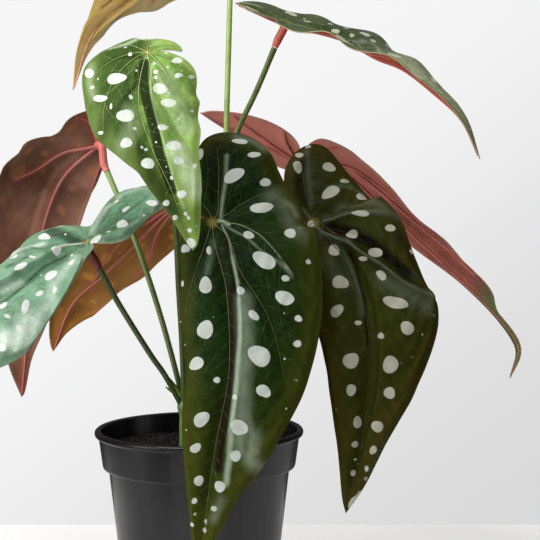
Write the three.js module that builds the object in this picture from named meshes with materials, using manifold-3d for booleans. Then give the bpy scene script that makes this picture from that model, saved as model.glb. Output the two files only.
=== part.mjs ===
// A potted polka dot begonia: an angel-wing begonia with long pointed, lopsided leaves, in a
// round black nursery pot. Millimetres, +Z up, origin in the middle of the pot's base.
// The plant's front looks along -Y, and +X is on the right of someone who faces it.

import * as THREE from "three";
import { mergeVertices } from "three/addons/utils/BufferGeometryUtils.js";
import Module from "manifold-3d";

const wasm = await Module();
wasm.setup();

// Driving dimensions
const SEAT_GAP = 0.3;
const POT = {
  height: 126,
  baseRadius: 50,
  shoulderHeight: 100,
  shoulderRadius: 61.2,
  bandBottomRadius: 65.2,
  bandTopRadius: 67.9,
  lipRadius: 70.5,
  lipHeight: 3.6,
  wall: 1.6,
  floor: 2.4,
  sides: 40,
};
const DRAIN = { count: 6, radius: 4, circle: 36, sides: 12 };
const SOIL = { top: 112, bump: 1.1, rings: 8 };
const CANE = { radius: 3, sides: 8, step: 16, buried: 88, swelling: 0.9, ringHeight: 3 };
const STALK = { radius: 2.1, sides: 8, step: 14 };
const STALK_END = { radius: 2.9, sides: 10, steps: 5 };
const BLADE = { thickness: 0.8, wideRays: 26, narrowRays: 15, rings: 6, rayBend: 0.18 };
const SPINE_STEPS = 40;

// The usual half outlines of a leaf, as shares of its length: along the midrib from the stalk, and across it.
// The wide half has the big round lobe behind the stalk, and both halves start at the notch.
const WIDE_EDGE = [
  [-0.015, -0.02],
  [-0.08, -0.075],
  [-0.17, -0.105],
  [-0.255, -0.05],
  [-0.27, 0.05],
  [-0.2, 0.17],
  [-0.05, 0.265],
  [0.18, 0.305],
  [0.42, 0.265],
  [0.66, 0.15],
  [0.86, 0.05],
  [1, 0],
];
const NARROW_EDGE = [
  [1, 0],
  [0.84, -0.04],
  [0.62, -0.09],
  [0.38, -0.13],
  [0.16, -0.137],
  [0.03, -0.12],
  [-0.025, -0.07],
  [-0.015, -0.02],
];
const OUTLINE_LOBE = 0.275;
const OUTLINE_WIDE = 0.305;
const OUTLINE_NARROW = 0.137;

// Each leaf: its midrib from the end of the lobe to the tip, with the stalk at one of the points,
// the way its upper face looks along the midrib, which side is wide, and both half widths.
// Bend is the angle at which each half leaves the midrib and curl how far its edge turns down,
// in degrees, at five places: the lobe, the stalk, a quarter, a half and the whole of the length.
// All but one have half outlines of their own, in millimetres along and across the midrib.
const LEAVES = {
  front: {
    colour: 0x1d4a1c,
    spine: [
      [22, -46, 321], [12, -62, 266], [21, -78, 225], [23, -88, 177], [15, -92, 132], [9, -90, 91],
      [4, -84, 48.5],
    ],
    face: [[0, -1, 0.35], [0, -1, 0.25], [0, -1, 0.1], [0, -1, 0]],
    side: 1,
    wide: 61,
    narrow: 32,
    wideEdge: [
      [-2, -5], [-7, -12], [-17, -18.5], [-31, -20], [-45, -18.5], [-53.5, -15], [-58.5, -8],
      [-60.5, 1], [-60, 11], [-56, 22], [-51, 29.5], [-43.5, 35], [-35.5, 42], [-28.5, 50],
      [-19.5, 57.5], [-5, 62], [12, 64], [30, 64.5], [46, 63], [60, 60], [72.5, 56], [88.5, 51.5],
      [103, 47.3], [117, 42], [129, 37.8], [143, 33], [154, 28], [164, 22.5], [177.5, 16.2],
      [191, 10.8], [203, 6.5], [215, 3], [225.4, 0],
    ],
    narrowEdge: [
      [225.4, 0], [215, -3.5], [202, -6.8], [185, -10], [172, -13.2], [156, -17.3], [136, -21.8],
      [122, -24.2], [110, -26], [99, -28.6], [80, -30.6], [61, -30.3], [39, -29.6], [24, -26.3],
      [9, -21.5], [0, -17.5], [-3, -11.5], [-2, -5],
    ],
    bendWide: [0, 10, 12, 12, 10],
    curlWide: [30, 40, 40, 40, 20],
    bendNarrow: [0, 12, 12, 12, 10],
    curlNarrow: [30, 50, 50, 50, 20],
  },
  right: {
    colour: 0x242d12,
    spine: [
      [64, -6, 307], [77, -22, 265], [95, -33, 243], [108, -45, 213], [111, -54, 176], [106, -60, 129],
      [96, -60, 82],
    ],
    face: [[0, -1, 0.5], [0, -1, 0.3], [0, -1, 0.1], [0, -1, 0]],
    side: 1,
    wide: 50,
    narrow: 36,
    wideEdge: [
      [-2, -4.5], [-6, -9.5], [-14, -12], [-24, -12], [-34, -10.5], [-42, -7.5], [-49, -1.5],
      [-53.5, 6], [-55, 14], [-53, 21], [-47.5, 25.5], [-40, 29], [-31, 33], [-22.5, 38], [-11.4, 43],
      [2, 47.5], [15, 49], [27, 49], [38, 46.5], [50, 43.8], [60, 43], [66, 44.6], [71.5, 47],
      [78, 46.8], [85.5, 45.2], [96, 41], [106, 36], [114, 31.8], [124, 27.7], [136, 22], [151.6, 15.5],
      [164, 11.8], [176, 8.8], [188, 5], [199.9, 0],
    ],
    narrowEdge: [
      [199.9, 0], [190.5, -4.6], [173.6, -10.2], [156.6, -15.4], [141.6, -20], [124, -24.5], [109, -27],
      [93.4, -31], [82, -34], [66, -36.5], [45, -38], [28, -37.5], [14, -33], [4, -25], [-1, -16],
      [-3, -9.5], [-2, -4.5],
    ],
    bendWide: [0, 10, 12, 12, 10],
    curlWide: [30, 40, 40, 40, 20],
    bendNarrow: [0, 12, 12, 12, 10],
    curlNarrow: [30, 50, 50, 50, 20],
  },
  upper_left: {
    colour: 0x5c9438,
    spine: [
      [-19, -60, 380], [-27, -76, 370], [-31, -92, 341], [-23, -102, 313], [-10, -106, 285], [2, -102, 250],
    ],
    face: [[0, -0.3, 1], [0, -1, 0.6], [0, -1, 0.2], [0, -1, 0.1]],
    side: -1,
    wide: 41,
    narrow: 35,
    wideEdge: [
      [-1.5, -4], [-6, -12.5], [-12.4, -19], [-18.3, -11.7], [-20.3, -2], [-20, 8], [-17.5, 17.5],
      [-13, 26.5], [-6.5, 34], [2.4, 38.8], [12.2, 41], [22, 41], [31.3, 36.8], [37, 33.5], [44, 31.2],
      [51, 29.2], [58.6, 24.5], [65, 20.5], [71, 16.7], [76.5, 13.6], [84, 12.4], [91, 11.4],
      [100.7, 8.6], [108.7, 6.2], [118, 4.1], [127, 2], [132.8, 0],
    ],
    narrowEdge: [
      [132.8, 0], [130.4, -3.6], [124, -7.4], [115, -11], [107, -14], [98.7, -17.7], [90.7, -21],
      [83.4, -23.6], [73.8, -28.5], [65, -32.5], [56.6, -35.5], [47, -37.5], [32, -37.2], [20, -37],
      [12, -36], [4, -31], [-1, -22], [-2.5, -13], [-1.5, -4],
    ],
    bendWide: [0, 10, 12, 12, 10],
    curlWide: [30, 60, 60, 60, 20],
    bendNarrow: [0, 12, 12, 12, 10],
    curlNarrow: [30, 50, 50, 50, 20],
  },
  left: {
    colour: 0x3f8468,
    spine: [
      [-23, -4, 283], [-70, -40, 253], [-84, -66, 240], [-103, -96, 227], [-123, -122, 212],
      [-144, -140, 189], [-163, -146, 156],
    ],
    face: [[0, -0.6, 0.8], [0, -0.6, 0.8], [0, -0.85, 0.55], [-0.2, -0.9, 0.5], [-0.2, -0.9, 0.3]],
    side: -1,
    wide: 52,
    narrow: 48,
    wideEdge: [
      [-1, -5], [-5, -14], [-15, -19.5], [-30, -15.5], [-45, -10.5], [-58, -9], [-69, 0], [-71, 15],
      [-66, 29], [-58, 35], [-49, 33], [-36, 25], [-22, 16.5], [-13, 12], [-9, 20], [-5, 31], [4, 38],
      [19, 35], [40, 28], [62, 21.5], [100, 19], [140, 12], [181.3, 0],
    ],
    narrowEdge: [
      [181.3, 0], [150, -18], [125, -32], [108, -36.5], [95, -35], [79, -30], [58, -24], [36, -16.5],
      [24, -13], [10, -11.5], [3, -9.5], [-1, -5],
    ],
    bendWide: [-5, 0, 15, 5, 0],
    curlWide: [30, 30, 40, 40, 20],
    bendNarrow: [0, 15, 5, 0, 0],
    curlNarrow: [30, 10, 20, 40, 20],
  },
  back_left: {
    colour: 0x63331f,
    spine: [
      [-67, 58, 329], [-72, 34, 318.5], [-98.5, 42, 294.5], [-115, 50, 254.5], [-123.5, 50, 202],
      [-128, 40, 141],
    ],
    face: [[0, 0.9, 0.5], [0, 0.9, 0.5], [-0.3, 0.9, 0.2], [-0.3, 0.9, 0]],
    side: 1,
    wide: 47,
    narrow: 36,
    wideEdge: [
      [-1.5, -4], [-8, -9], [-18, -10], [-28, -5], [-34, 4], [-32, 14], [-22, 22], [-12, 24],
      [-4, 26], [1, 29], [5.5, 28.5], [11.5, 26], [18, 28], [24, 35], [29, 38.5], [34.5, 38],
      [38.5, 41], [43, 43.5], [50, 43], [62, 45], [78, 45], [94, 42], [112, 36], [130, 29],
      [148, 21.5], [165, 14.5], [177, 10.5], [188, 5], [196.8, 0],
    ],
    narrowEdge: [
      [196.8, 0], [192, -2.1], [169, -4.9], [150, -11], [137, -14.7], [118, -19], [98, -22.5],
      [80, -24.5], [65, -24.6], [50, -24], [37.5, -23.2], [22, -20.8], [10, -15.5], [3, -11.5],
      [-1, -8], [-1.5, -4],
    ],
  },
  back_low: {
    colour: 0x8a5620,
    spine: [[8, 56, 297], [-12, 70, 283], [-33, 84, 267], [-74, 98, 227], [-101, 102, 202], [-115, 98, 167]],
    face: [[-0.2, 0.8, 0.5], [-0.2, 0.8, 0.5], [-0.3, 0.9, 0.3], [-0.3, 0.9, 0.2]],
    side: -1,
    wide: 50,
    narrow: 34,
    wideEdge: [
      [-1.5, -4], [-8, -9], [-17, -11], [-25, -5], [-27, 5], [-22, 15], [-10, 22], [5, 25],
      [25, 26], [45, 25], [60, 24], [75, 23.5], [86, 20.5], [95, 18.5], [104, 19.3], [113, 19.5],
      [125, 18.5], [134, 14], [141, 9.6], [151, 4], [164.6, 0],
    ],
    narrowEdge: [
      [164.6, 0], [161.7, -3], [155, -6.8], [146, -10], [138, -12.4], [120, -18], [100, -24],
      [80, -29], [60, -32], [40, -33], [20, -31], [5, -26], [-1, -15], [-1.5, -4],
    ],
  },
  top_left: {
    colour: 0x8f6426,
    spine: [
      [47, 22, 478], [21, 30, 467], [-16, 36, 449], [-52, 38, 419], [-76, 38, 396],
      [-89, 34, 356.5],
    ],
    face: [[-0.1, 0.5, 0.8], [-0.1, 0.5, 0.8], [-0.3, 0.6, 0.6], [-0.5, 0.6, 0.3]],
    side: -1,
    wide: 46,
    narrow: 30,
    wideEdge: [
      [-1.6, -3.6], [-8.3, -13], [-17.7, -18.5], [-26.6, -9], [-28.2, 7.5], [-20.9, 25.6],
      [-5.2, 39], [15, 44], [35, 42], [50, 35], [63, 26.5], [75, 23.2], [80.5, 20.5], [88, 13.8],
      [97, 9.2], [105, 7.8], [112, 8.8], [119, 8.5], [131, 4.9], [142, 2.4], [152, 1.3],
      [163.9, 0],
    ],
    narrowEdge: [
      [163.9, 0], [156, -2.5], [145.4, -5], [137, -6.3], [128, -7.6], [121, -9.4], [115, -11.2],
      [109, -16.6], [105, -20.4], [96, -25], [80, -28.5], [60, -30], [40, -30.5], [25, -30],
      [10, -27], [2, -20], [-1.5, -12], [-1.6, -3.6],
    ],
  },
  top_right: {
    colour: 0x4e7433,
    spine: [
      [25, -2, 410.5], [58, -10, 397.5], [75.5, -14, 392.5], [97.5, -19, 385], [117, -24, 373],
      [134.5, -28, 365], [153, -31, 350], [171.5, -34, 331.5], [183, -36, 306.5],
    ],
    face: [[0, -0.2, 1], [0, -0.2, 1], [0.2, -0.2, 0.9], [0.4, -0.2, 0.8]],
    side: 1,
    wide: 44,
    narrow: 30,
    bendWide: [9, 9, 6, 9, 13],
    curlWide: [10, 10, 5, 5, 5],
    bendNarrow: [16, 2, 8, 15, 6],
    curlNarrow: [5, 5, 5, 5, 5],
    wave: { height: 2, count: 4.1, narrowShift: 2.3 },
  },
  back_right: {
    colour: 0x8c3d3a,
    spine: [
      [-2, 60, 343], [33, 70, 326.5], [70, 78, 308], [104, 84, 299.5], [136, 89, 271.5],
      [178.5, 93, 232.5], [209, 93, 203.5], [232.5, 88, 172.5], [226, 84, 148.5],
    ],
    stalkPoint: 2,
    face: [[0.1, 0.15, 1], [0.2, 0.15, 1], [0.4, 0.15, 0.9], [0.9, 0.15, 0.4]],
    side: 1,
    wide: 46,
    narrow: 32,
    wideEdge: [
      [-1, -5], [-8, -14], [-20, -20], [-36, -21.5], [-52, -17.5], [-68.5, -10], [-79, -3],
      [-81, 5], [-70, 16], [-50, 28], [-20, 40], [10, 45.5], [45, 46], [80, 43], [110, 37],
      [135, 30], [155, 24], [170, 19], [182, 14], [192, 12.5], [202, 14], [212, 13.5], [222, 10],
      [232, 5.5], [244, 0],
    ],
    narrowEdge: [
      [244, 0], [237, -2], [224, -3], [213, -3], [201, -2.8], [190, -3.5], [183, -8], [176, -14],
      [165, -16.5], [150, -14.2], [137, -15.2], [122, -16.5], [110, -14.6], [91, -14], [72, -16.6],
      [54, -17.5], [38, -19], [27.6, -24], [15, -28], [5, -26], [-1, -19], [-2, -12], [-1, -5],
    ],
    bendWide: [15, 15, 15, 15, 0],
    curlWide: [30, 30, 30, 30, 10],
    bendNarrow: [35, 40, 40, 40, 10],
    curlNarrow: [10, 10, 10, 10, 0],
  },
};
const FLAT_BEND = [0, 0, 0, 0, 0];
const USUAL_CURL = [30, 30, 30, 30, 20];
const MARGIN_WAVE = { height: 2, count: 3.5, narrowShift: 2 };

// Each stem: the cane that stands in the soil, and the stalks that leave it, each named for its
// leaf and listed from inside the cane to where its swollen red end starts.
const STEMS = {
  tall: {
    colour: 0x6d8f3c,
    cane: [[4, 8, CANE.buried], [4, 8, 112], [6, 6, 170], [11, 4, 240], [18, 2, 309]],
    stalks: {
      top_left: [[18, 2, 306], [19, 6, 348], [20, 12, 388], [21, 18, 430], [21, 21, 446]],
      top_right: [[17, 2, 300], [26, -2, 326], [39, -5, 353], [51, -8, 381]],
      right: [[7, 6, 185], [34, 6, 219], [58, 2, 246], [71, -6, 257]],
      front: [[6, 6, 160], [8, -10, 200], [10, -30, 238], [11, -44, 256]],
    },
  },
  left: {
    colour: 0x3f5f24,
    cane: [[-11, 1, CANE.buried], [-11, 1, 112], [-10, 0, 146]],
    stalks: {
      left: [[-10, 0, 138], [-23, -6, 163], [-32, -10, 177], [-51, -22, 211], [-63, -32, 236]],
      back_left: [
        [-10, 0, 142], [-24, 8, 192], [-36, 14, 229], [-47, 20, 258], [-57, 25, 282], [-65, 29, 300],
      ],
      upper_left: [
        [-10, -1, 140], [-11, -12, 188], [-12, -24, 222], [-13, -38, 264], [-17, -52, 305], [-22, -64, 346],
      ],
    },
  },
  back: {
    colour: 0x4c6a2c,
    cane: [[4, 28, CANE.buried], [4, 28, 112], [3, 30, 180]],
    stalks: {
      back_low: [[3, 30, 172], [0, 40, 220], [-5, 52, 258]],
      back_right: [[3, 30, 176], [22, 40, 220], [44, 52, 262], [60, 64, 290]],
    },
  },
};

// Vectors, curves and solids
const toVector = ([x, y, z]) => new THREE.Vector3(x, y, z);

function smoothCurve(points) {
  return new THREE.CatmullRomCurve3(points.map(toVector), false, "catmullrom", 0.5);
}

function mergedGeometry(geometry) {
  geometry.deleteAttribute("normal");
  geometry.deleteAttribute("uv");
  return mergeVertices(geometry, 1e-4);
}

function solidOf(geometry) {
  const merged = mergedGeometry(geometry);
  return new wasm.Manifold(
    new wasm.Mesh({
      numProp: 3,
      vertProperties: merged.attributes.position.array,
      triVerts: Uint32Array.from(merged.index.array),
    }),
  );
}

function geometryOf(solid) {
  const { vertProperties, triVerts } = solid.getMesh();
  const geometry = new THREE.BufferGeometry();
  geometry.setAttribute("position", new THREE.BufferAttribute(vertProperties, 3));
  geometry.setIndex(new THREE.BufferAttribute(triVerts, 1));
  return geometry;
}

function joined(geometries) {
  return geometries.map(solidOf).reduce((all, next) => all.add(next));
}

function polygonShape(radius, sides) {
  const corners = Array.from({ length: sides }, (_, i) => {
    const angle = (i / sides) * Math.PI * 2;
    return new THREE.Vector2(Math.cos(angle), Math.sin(angle)).multiplyScalar(radius);
  });
  return new THREE.Shape(corners);
}

function tube(points, { radius, sides, step, steps }) {
  const path = smoothCurve(points);
  return new THREE.ExtrudeGeometry(polygonShape(radius, sides), {
    extrudePath: path,
    steps: steps ?? Math.ceil(path.getLength() / step),
    bevelEnabled: false,
  });
}

function named(name, geometry, colour, roughness, metalness = 0) {
  const material = new THREE.MeshStandardMaterial({ color: colour, roughness, metalness });
  const mesh = new THREE.Mesh(geometry, material);
  mesh.name = name;
  return mesh;
}

// The pot: a tapered body, a shoulder out to a deep band, and a rolled lip
function potInnerRadius(height) {
  const { baseRadius, shoulderHeight, shoulderRadius, bandBottomRadius, bandTopRadius, wall } = POT;
  if (height <= shoulderHeight) {
    return THREE.MathUtils.lerp(baseRadius, shoulderRadius, height / shoulderHeight) - wall;
  }
  const bandFoot = shoulderHeight + 3;
  if (height <= bandFoot) {
    const outer = THREE.MathUtils.mapLinear(height, shoulderHeight, bandFoot, shoulderRadius, bandBottomRadius);
    return outer - wall;
  }
  return THREE.MathUtils.mapLinear(height, bandFoot, POT.height, bandBottomRadius, bandTopRadius) - wall;
}

function potGeometry() {
  const { height, baseRadius, shoulderHeight, shoulderRadius, bandBottomRadius, bandTopRadius } = POT;
  const { lipRadius, lipHeight, floor, sides } = POT;
  const lipFoot = height - lipHeight;
  const outside = [
    [0, 0],
    [baseRadius - 1.5, 0],
    [baseRadius, 1.5],
    [shoulderRadius, shoulderHeight],
    [bandBottomRadius - 0.8, shoulderHeight + 0.6],
    [bandBottomRadius, shoulderHeight + 1.6],
    [bandTopRadius, lipFoot - 1],
    [lipRadius - 0.6, lipFoot - 0.4],
    [lipRadius, lipFoot + 0.6],
    [lipRadius, height - 1.2],
    [lipRadius - 1, height],
  ];
  const innerHeights = [height - 0.8, shoulderHeight + 3, shoulderHeight, floor];
  const inside = innerHeights.map((z) => [potInnerRadius(z), z]);
  const profile = [...outside, [bandTopRadius - 0.6, height], ...inside, [0, floor]];
  const shell = new THREE.LatheGeometry(profile.map(([r, z]) => new THREE.Vector2(r, z)), sides);
  shell.rotateX(Math.PI / 2);
  let pot = solidOf(shell);
  for (let i = 0; i < DRAIN.count; i++) {
    const hole = new THREE.CylinderGeometry(DRAIN.radius, DRAIN.radius, floor * 4, DRAIN.sides);
    hole.rotateX(Math.PI / 2);
    hole.translate(DRAIN.circle, 0, 0);
    hole.rotateZ(((i + 0.5) / DRAIN.count) * Math.PI * 2);
    pot = pot.subtract(solidOf(hole));
  }
  return geometryOf(pot);
}

// The soil: it fills the pot, lies uneven on top, and has a plain hole for each cane
function soilBump(x, y) {
  return SOIL.bump * (Math.sin(x * 0.31 + 1) * Math.cos(y * 0.27) + 0.5 * Math.sin(x * 0.11 - y * 0.53));
}

function soilGeometry() {
  const bottom = POT.floor + SEAT_GAP;
  const wallAt = (z) => new THREE.Vector2(potInnerRadius(z) - SEAT_GAP, z);
  const sideHeights = [bottom, POT.shoulderHeight, POT.shoulderHeight + 3, SOIL.top - 3];
  const edge = sideHeights.map(wallAt);
  const rim = edge.at(-1).x;
  const crown = Array.from({ length: SOIL.rings }, (_, i) => {
    const share = 1 - i / SOIL.rings;
    return new THREE.Vector2((rim - 0.8) * share, SOIL.top);
  });
  const profile = [new THREE.Vector2(0, bottom), ...edge, ...crown, new THREE.Vector2(0, SOIL.top)];
  const body = new THREE.LatheGeometry(profile, POT.sides);
  body.rotateX(Math.PI / 2);
  const place = body.attributes.position;
  for (let i = 0; i < place.count; i++) {
    if (place.getZ(i) > SOIL.top - 1) {
      place.setZ(i, SOIL.top + soilBump(place.getX(i), place.getY(i)));
    }
  }
  let soil = solidOf(body);
  for (const { cane } of Object.values(STEMS)) {
    const [foot, ...rest] = cane;
    const lowered = [foot[0], foot[1], foot[2] - SEAT_GAP];
    const hole = tube([lowered, ...rest], { ...CANE, radius: CANE.radius + SEAT_GAP });
    soil = soil.subtract(solidOf(hole));
  }
  return geometryOf(soil);
}

// A leaf blade: a flat lopsided outline carried onto a curved midrib
function spineRows(leaf) {
  const curve = smoothCurve(leaf.spine);
  const count = (leaf.spine.length - 1) * SPINE_STEPS;
  const faces = leaf.face.map(toVector);
  const rows = [];
  for (let i = 0; i <= count; i++) {
    const point = curve.getPoint(i / count);
    const tangent = curve.getTangent(i / count);
    const place = (i / count) * (faces.length - 1);
    const below = Math.min(Math.floor(place), faces.length - 2);
    const hint = faces[below].clone().lerp(faces[below + 1], place - below);
    const up = hint.addScaledVector(tangent, -hint.dot(tangent)).normalize();
    const across = up.clone().cross(tangent);
    const along = i === 0 ? 0 : rows[i - 1].along + point.distanceTo(rows[i - 1].point);
    rows.push({ along, point, tangent, up, across });
  }
  const stalk = rows[(leaf.stalkPoint ?? 1) * SPINE_STEPS].along;
  for (const row of rows) {
    row.along -= stalk;
  }
  return rows;
}

function rowAt(rows, along) {
  const after = rows.findIndex((row) => row.along > along);
  const high = after < 0 ? rows.length - 1 : Math.max(after, 1);
  const [a, b] = [rows[high - 1], rows[high]];
  const share = THREE.MathUtils.clamp((along - a.along) / (b.along - a.along), 0, 1);
  const past = Math.min(along - rows[0].along, 0) + Math.max(along - rows.at(-1).along, 0);
  const tangent = a.tangent.clone().lerp(b.tangent, share);
  return {
    point: a.point.clone().lerp(b.point, share).addScaledVector(tangent, past),
    up: a.up.clone().lerp(b.up, share).normalize(),
    across: a.across.clone().lerp(b.across, share).normalize(),
  };
}

function between(stations, values, place) {
  const last = stations.length - 1;
  if (place <= stations[0]) {
    return values[0];
  }
  if (place >= stations[last]) {
    return values[last];
  }
  const high = stations.findIndex((station) => station > place);
  return THREE.MathUtils.mapLinear(place, stations[high - 1], stations[high], values[high - 1], values[high]);
}

function flatCurve(points) {
  const flat = points.map(([along, across]) => new THREE.Vector3(along, across, 0));
  return new THREE.CatmullRomCurve3(flat, false, "catmullrom", 0.5);
}

function bladeForm(leaf) {
  const rows = spineRows(leaf);
  const length = rows.at(-1).along;
  const lobe = -rows[0].along;
  const stations = [-lobe, 0, length / 4, length / 2, length];
  const { wide, narrow, side } = leaf;
  const bends = { wide: leaf.bendWide ?? FLAT_BEND, narrow: leaf.bendNarrow ?? FLAT_BEND };
  const curls = { wide: leaf.curlWide ?? USUAL_CURL, narrow: leaf.curlNarrow ?? USUAL_CURL };

  function surface(along, across) {
    const { point, up, across: sideways } = rowAt(rows, along);
    const half = across > 0 ? "wide" : "narrow";
    const width = across > 0 ? wide : narrow;
    const reach = Math.abs(across);
    const bend = THREE.MathUtils.degToRad(between(stations, bends[half], along));
    const turn = THREE.MathUtils.degToRad(between(stations, curls[half], along)) * (reach / width);
    const chord = turn < 1e-4 ? reach : (reach * Math.sin(turn / 2)) / (turn / 2);
    const slope = bend - turn;
    const sign = Math.sign(across) * side;
    const normal = up.clone().multiplyScalar(Math.cos(slope));
    normal.addScaledVector(sideways, -sign * Math.sin(slope));
    const { height, count, narrowShift } = leaf.wave ?? MARGIN_WAVE;
    const phase = 2 * Math.PI * count * (along / length) + (across > 0 ? 0 : narrowShift);
    const wave = height * (reach / width) ** 2 * Math.sin(phase);
    point.addScaledVector(sideways, sign * chord * Math.cos(bend - turn / 2));
    point.addScaledVector(up, chord * Math.sin(bend - turn / 2));
    point.addScaledVector(normal, wave);
    return { point, normal: normal.normalize() };
  }

  const lobeBack = (0.7 * wide) / OUTLINE_WIDE + (0.35 * narrow) / OUTLINE_NARROW;
  function sized(outline) {
    return flatCurve(outline).getPoints(outline.length * 12).map(({ x, y }) => {
      const across = y > 0 ? (y / OUTLINE_WIDE) * wide : x < 0 ? y * lobeBack : (y / OUTLINE_NARROW) * narrow;
      return [x < 0 ? (x / OUTLINE_LOBE) * lobe : x * length, across];
    });
  }
  const wideEdge = flatCurve(leaf.wideEdge ?? sized(WIDE_EDGE)).getSpacedPoints(BLADE.wideRays);
  const narrowEdge = flatCurve(leaf.narrowEdge ?? sized(NARROW_EDGE)).getSpacedPoints(BLADE.narrowRays);
  const rim = [...wideEdge, ...narrowEdge.slice(1, -1)];
  return { surface, rim };
}

function bladeGeometry(leaf, form) {
  const { surface, rim } = form;
  const places = [[0, 0]];
  for (let ring = 1; ring <= BLADE.rings; ring++) {
    const share = ring / BLADE.rings;
    for (const { x, y } of rim) {
      const reach = Math.hypot(x, y) * share;
      const angle = Math.atan2(y, x);
      const bent = angle + BLADE.rayBend * Math.sin(angle) * (1 - share);
      places.push([reach * Math.cos(bent), reach * Math.sin(bent)]);
    }
  }
  const half = BLADE.thickness / 2;
  const count = places.length;
  const above = [];
  const below = [];
  for (const [along, across] of places) {
    const { point, normal } = surface(along, across);
    above.push(...point.clone().addScaledVector(normal, half));
    below.push(...point.clone().addScaledVector(normal, -half));
  }
  const index = [];
  const turned = leaf.side < 0;
  const face = (a, b, c) => index.push(...(turned ? [a, c, b] : [a, b, c]));
  const around = rim.length;
  const spot = (ring, ray) => (ring === 0 ? 0 : 1 + (ring - 1) * around + (ray % around));
  for (let ring = 0; ring < BLADE.rings; ring++) {
    for (let ray = 0; ray < around; ray++) {
      const corners = [spot(ring, ray), spot(ring, ray + 1), spot(ring + 1, ray + 1), spot(ring + 1, ray)];
      const [a, b, c, d] = corners;
      face(a, c, d);
      face(a + count, d + count, c + count);
      if (ring > 0) {
        face(a, b, c);
        face(a + count, c + count, b + count);
      }
    }
  }
  for (let ray = 0; ray < around; ray++) {
    const [a, b] = [spot(BLADE.rings, ray), spot(BLADE.rings, ray + 1)];
    face(a, b, b + count);
    face(a, b + count, a + count);
  }
  const geometry = new THREE.BufferGeometry();
  geometry.setAttribute("position", new THREE.Float32BufferAttribute([...above, ...below], 3));
  geometry.setIndex(index);
  return geometry;
}

// The swollen red end of a stalk: it turns up square to the blade and stops just under it
function stalkEndGeometry(form, start, before) {
  const { point: seat } = form.surface(0, 0);
  const reach = 1.5 * STALK_END.radius;
  const around = Array.from({ length: 8 }, (_, i) => {
    const angle = (i / 8) * Math.PI * 2;
    return form.surface(reach * Math.cos(angle), reach * Math.sin(angle));
  });
  const normal = around.reduce((sum, place) => sum.add(place.normal), new THREE.Vector3()).normalize();
  const droop = Math.max(0, ...around.map(({ point }) => seat.clone().sub(point).dot(normal)));
  const depth = BLADE.thickness / 2 + SEAT_GAP + droop;
  const end = seat.addScaledVector(normal, -depth);
  const lead = toVector(start).sub(toVector(before)).normalize();
  const base = toVector(start).addScaledVector(lead, SEAT_GAP);
  const span = base.distanceTo(end);
  const points = [
    base,
    base.clone().addScaledVector(lead, span * 0.3),
    end.clone().addScaledVector(normal, -span * 0.25),
    end,
  ];
  return tube(points.map((p) => p.toArray()), STALK_END);
}

// A stem: the cane, a swollen ring where each stalk leaves it, and the stalks, grown as one
function ringGeometry(at, next) {
  const { radius, swelling, ringHeight, sides } = CANE;
  const profile = [
    new THREE.Vector2(0, -ringHeight),
    new THREE.Vector2(radius, -ringHeight),
    new THREE.Vector2(radius + swelling, 0),
    new THREE.Vector2(radius, ringHeight),
    new THREE.Vector2(0, ringHeight),
  ];
  const ring = new THREE.LatheGeometry(profile, sides);
  const heading = toVector(next).sub(toVector(at)).normalize();
  ring.applyQuaternion(new THREE.Quaternion().setFromUnitVectors(new THREE.Vector3(0, 1, 0), heading));
  ring.translate(...at);
  return ring;
}

function stemGeometry({ cane, stalks }) {
  const pieces = [tube(cane, CANE)];
  for (const stalk of Object.values(stalks)) {
    pieces.push(tube(stalk, STALK));
  }
  pieces.push(ringGeometry(cane.at(-1), [...cane.at(-1).slice(0, 2), cane.at(-1)[2] + 1]));
  return geometryOf(joined(pieces));
}

// The plant in its pot
const begonia = new THREE.Group();
begonia.add(named("pot", potGeometry(), 0x232427, 0.55));
begonia.add(named("soil", soilGeometry(), 0x1c1612, 0.95));

const forms = Object.fromEntries(Object.entries(LEAVES).map(([name, leaf]) => [name, bladeForm(leaf)]));
for (const [stemName, stem] of Object.entries(STEMS)) {
  begonia.add(named(`stem_${stemName}`, stemGeometry(stem), stem.colour, 0.5));
  for (const [name, stalk] of Object.entries(stem.stalks)) {
    const end = stalkEndGeometry(forms[name], stalk.at(-1), stalk.at(-2));
    begonia.add(named(`stalk_end_${name}`, end, 0x8e2f2c, 0.5));
  }
}
for (const [name, leaf] of Object.entries(LEAVES)) {
  begonia.add(named(`leaf_${name}`, bladeGeometry(leaf, forms[name]), leaf.colour, 0.4));
}

export default begonia;
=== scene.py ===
# A potted polka dot begonia: nine spotted angel-wing leaves on tall canes in a black nursery pot.
# Lengths in this script are millimetres until a mesh is made, and the mesh itself is in metres.
import math

import bpy
import numpy as np
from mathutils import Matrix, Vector


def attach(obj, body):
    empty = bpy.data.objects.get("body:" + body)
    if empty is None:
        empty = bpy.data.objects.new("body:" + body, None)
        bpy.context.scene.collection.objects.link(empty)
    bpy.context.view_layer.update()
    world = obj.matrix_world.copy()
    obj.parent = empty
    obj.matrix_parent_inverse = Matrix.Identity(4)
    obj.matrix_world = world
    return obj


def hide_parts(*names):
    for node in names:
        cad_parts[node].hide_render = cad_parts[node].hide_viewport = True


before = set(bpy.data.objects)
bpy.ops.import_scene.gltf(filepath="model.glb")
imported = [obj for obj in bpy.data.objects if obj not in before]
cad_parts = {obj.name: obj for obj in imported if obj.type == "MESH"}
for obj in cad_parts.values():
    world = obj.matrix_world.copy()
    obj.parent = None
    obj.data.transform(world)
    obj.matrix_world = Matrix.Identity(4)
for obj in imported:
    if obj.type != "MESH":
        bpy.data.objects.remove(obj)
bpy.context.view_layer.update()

METRE = 0.001
SEED = 7

# The camera, with the photograph's picture width and focal length in pixels, and the millimetres
# that one of those pixels spans at the leaves
PIXEL = 0.65
PICTURE_SIDE = 540
FOCAL_PIXELS = 1300
CAMERA_PLACE = (47.9, -875, 279)
CAMERA_PITCH = 3.0

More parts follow.
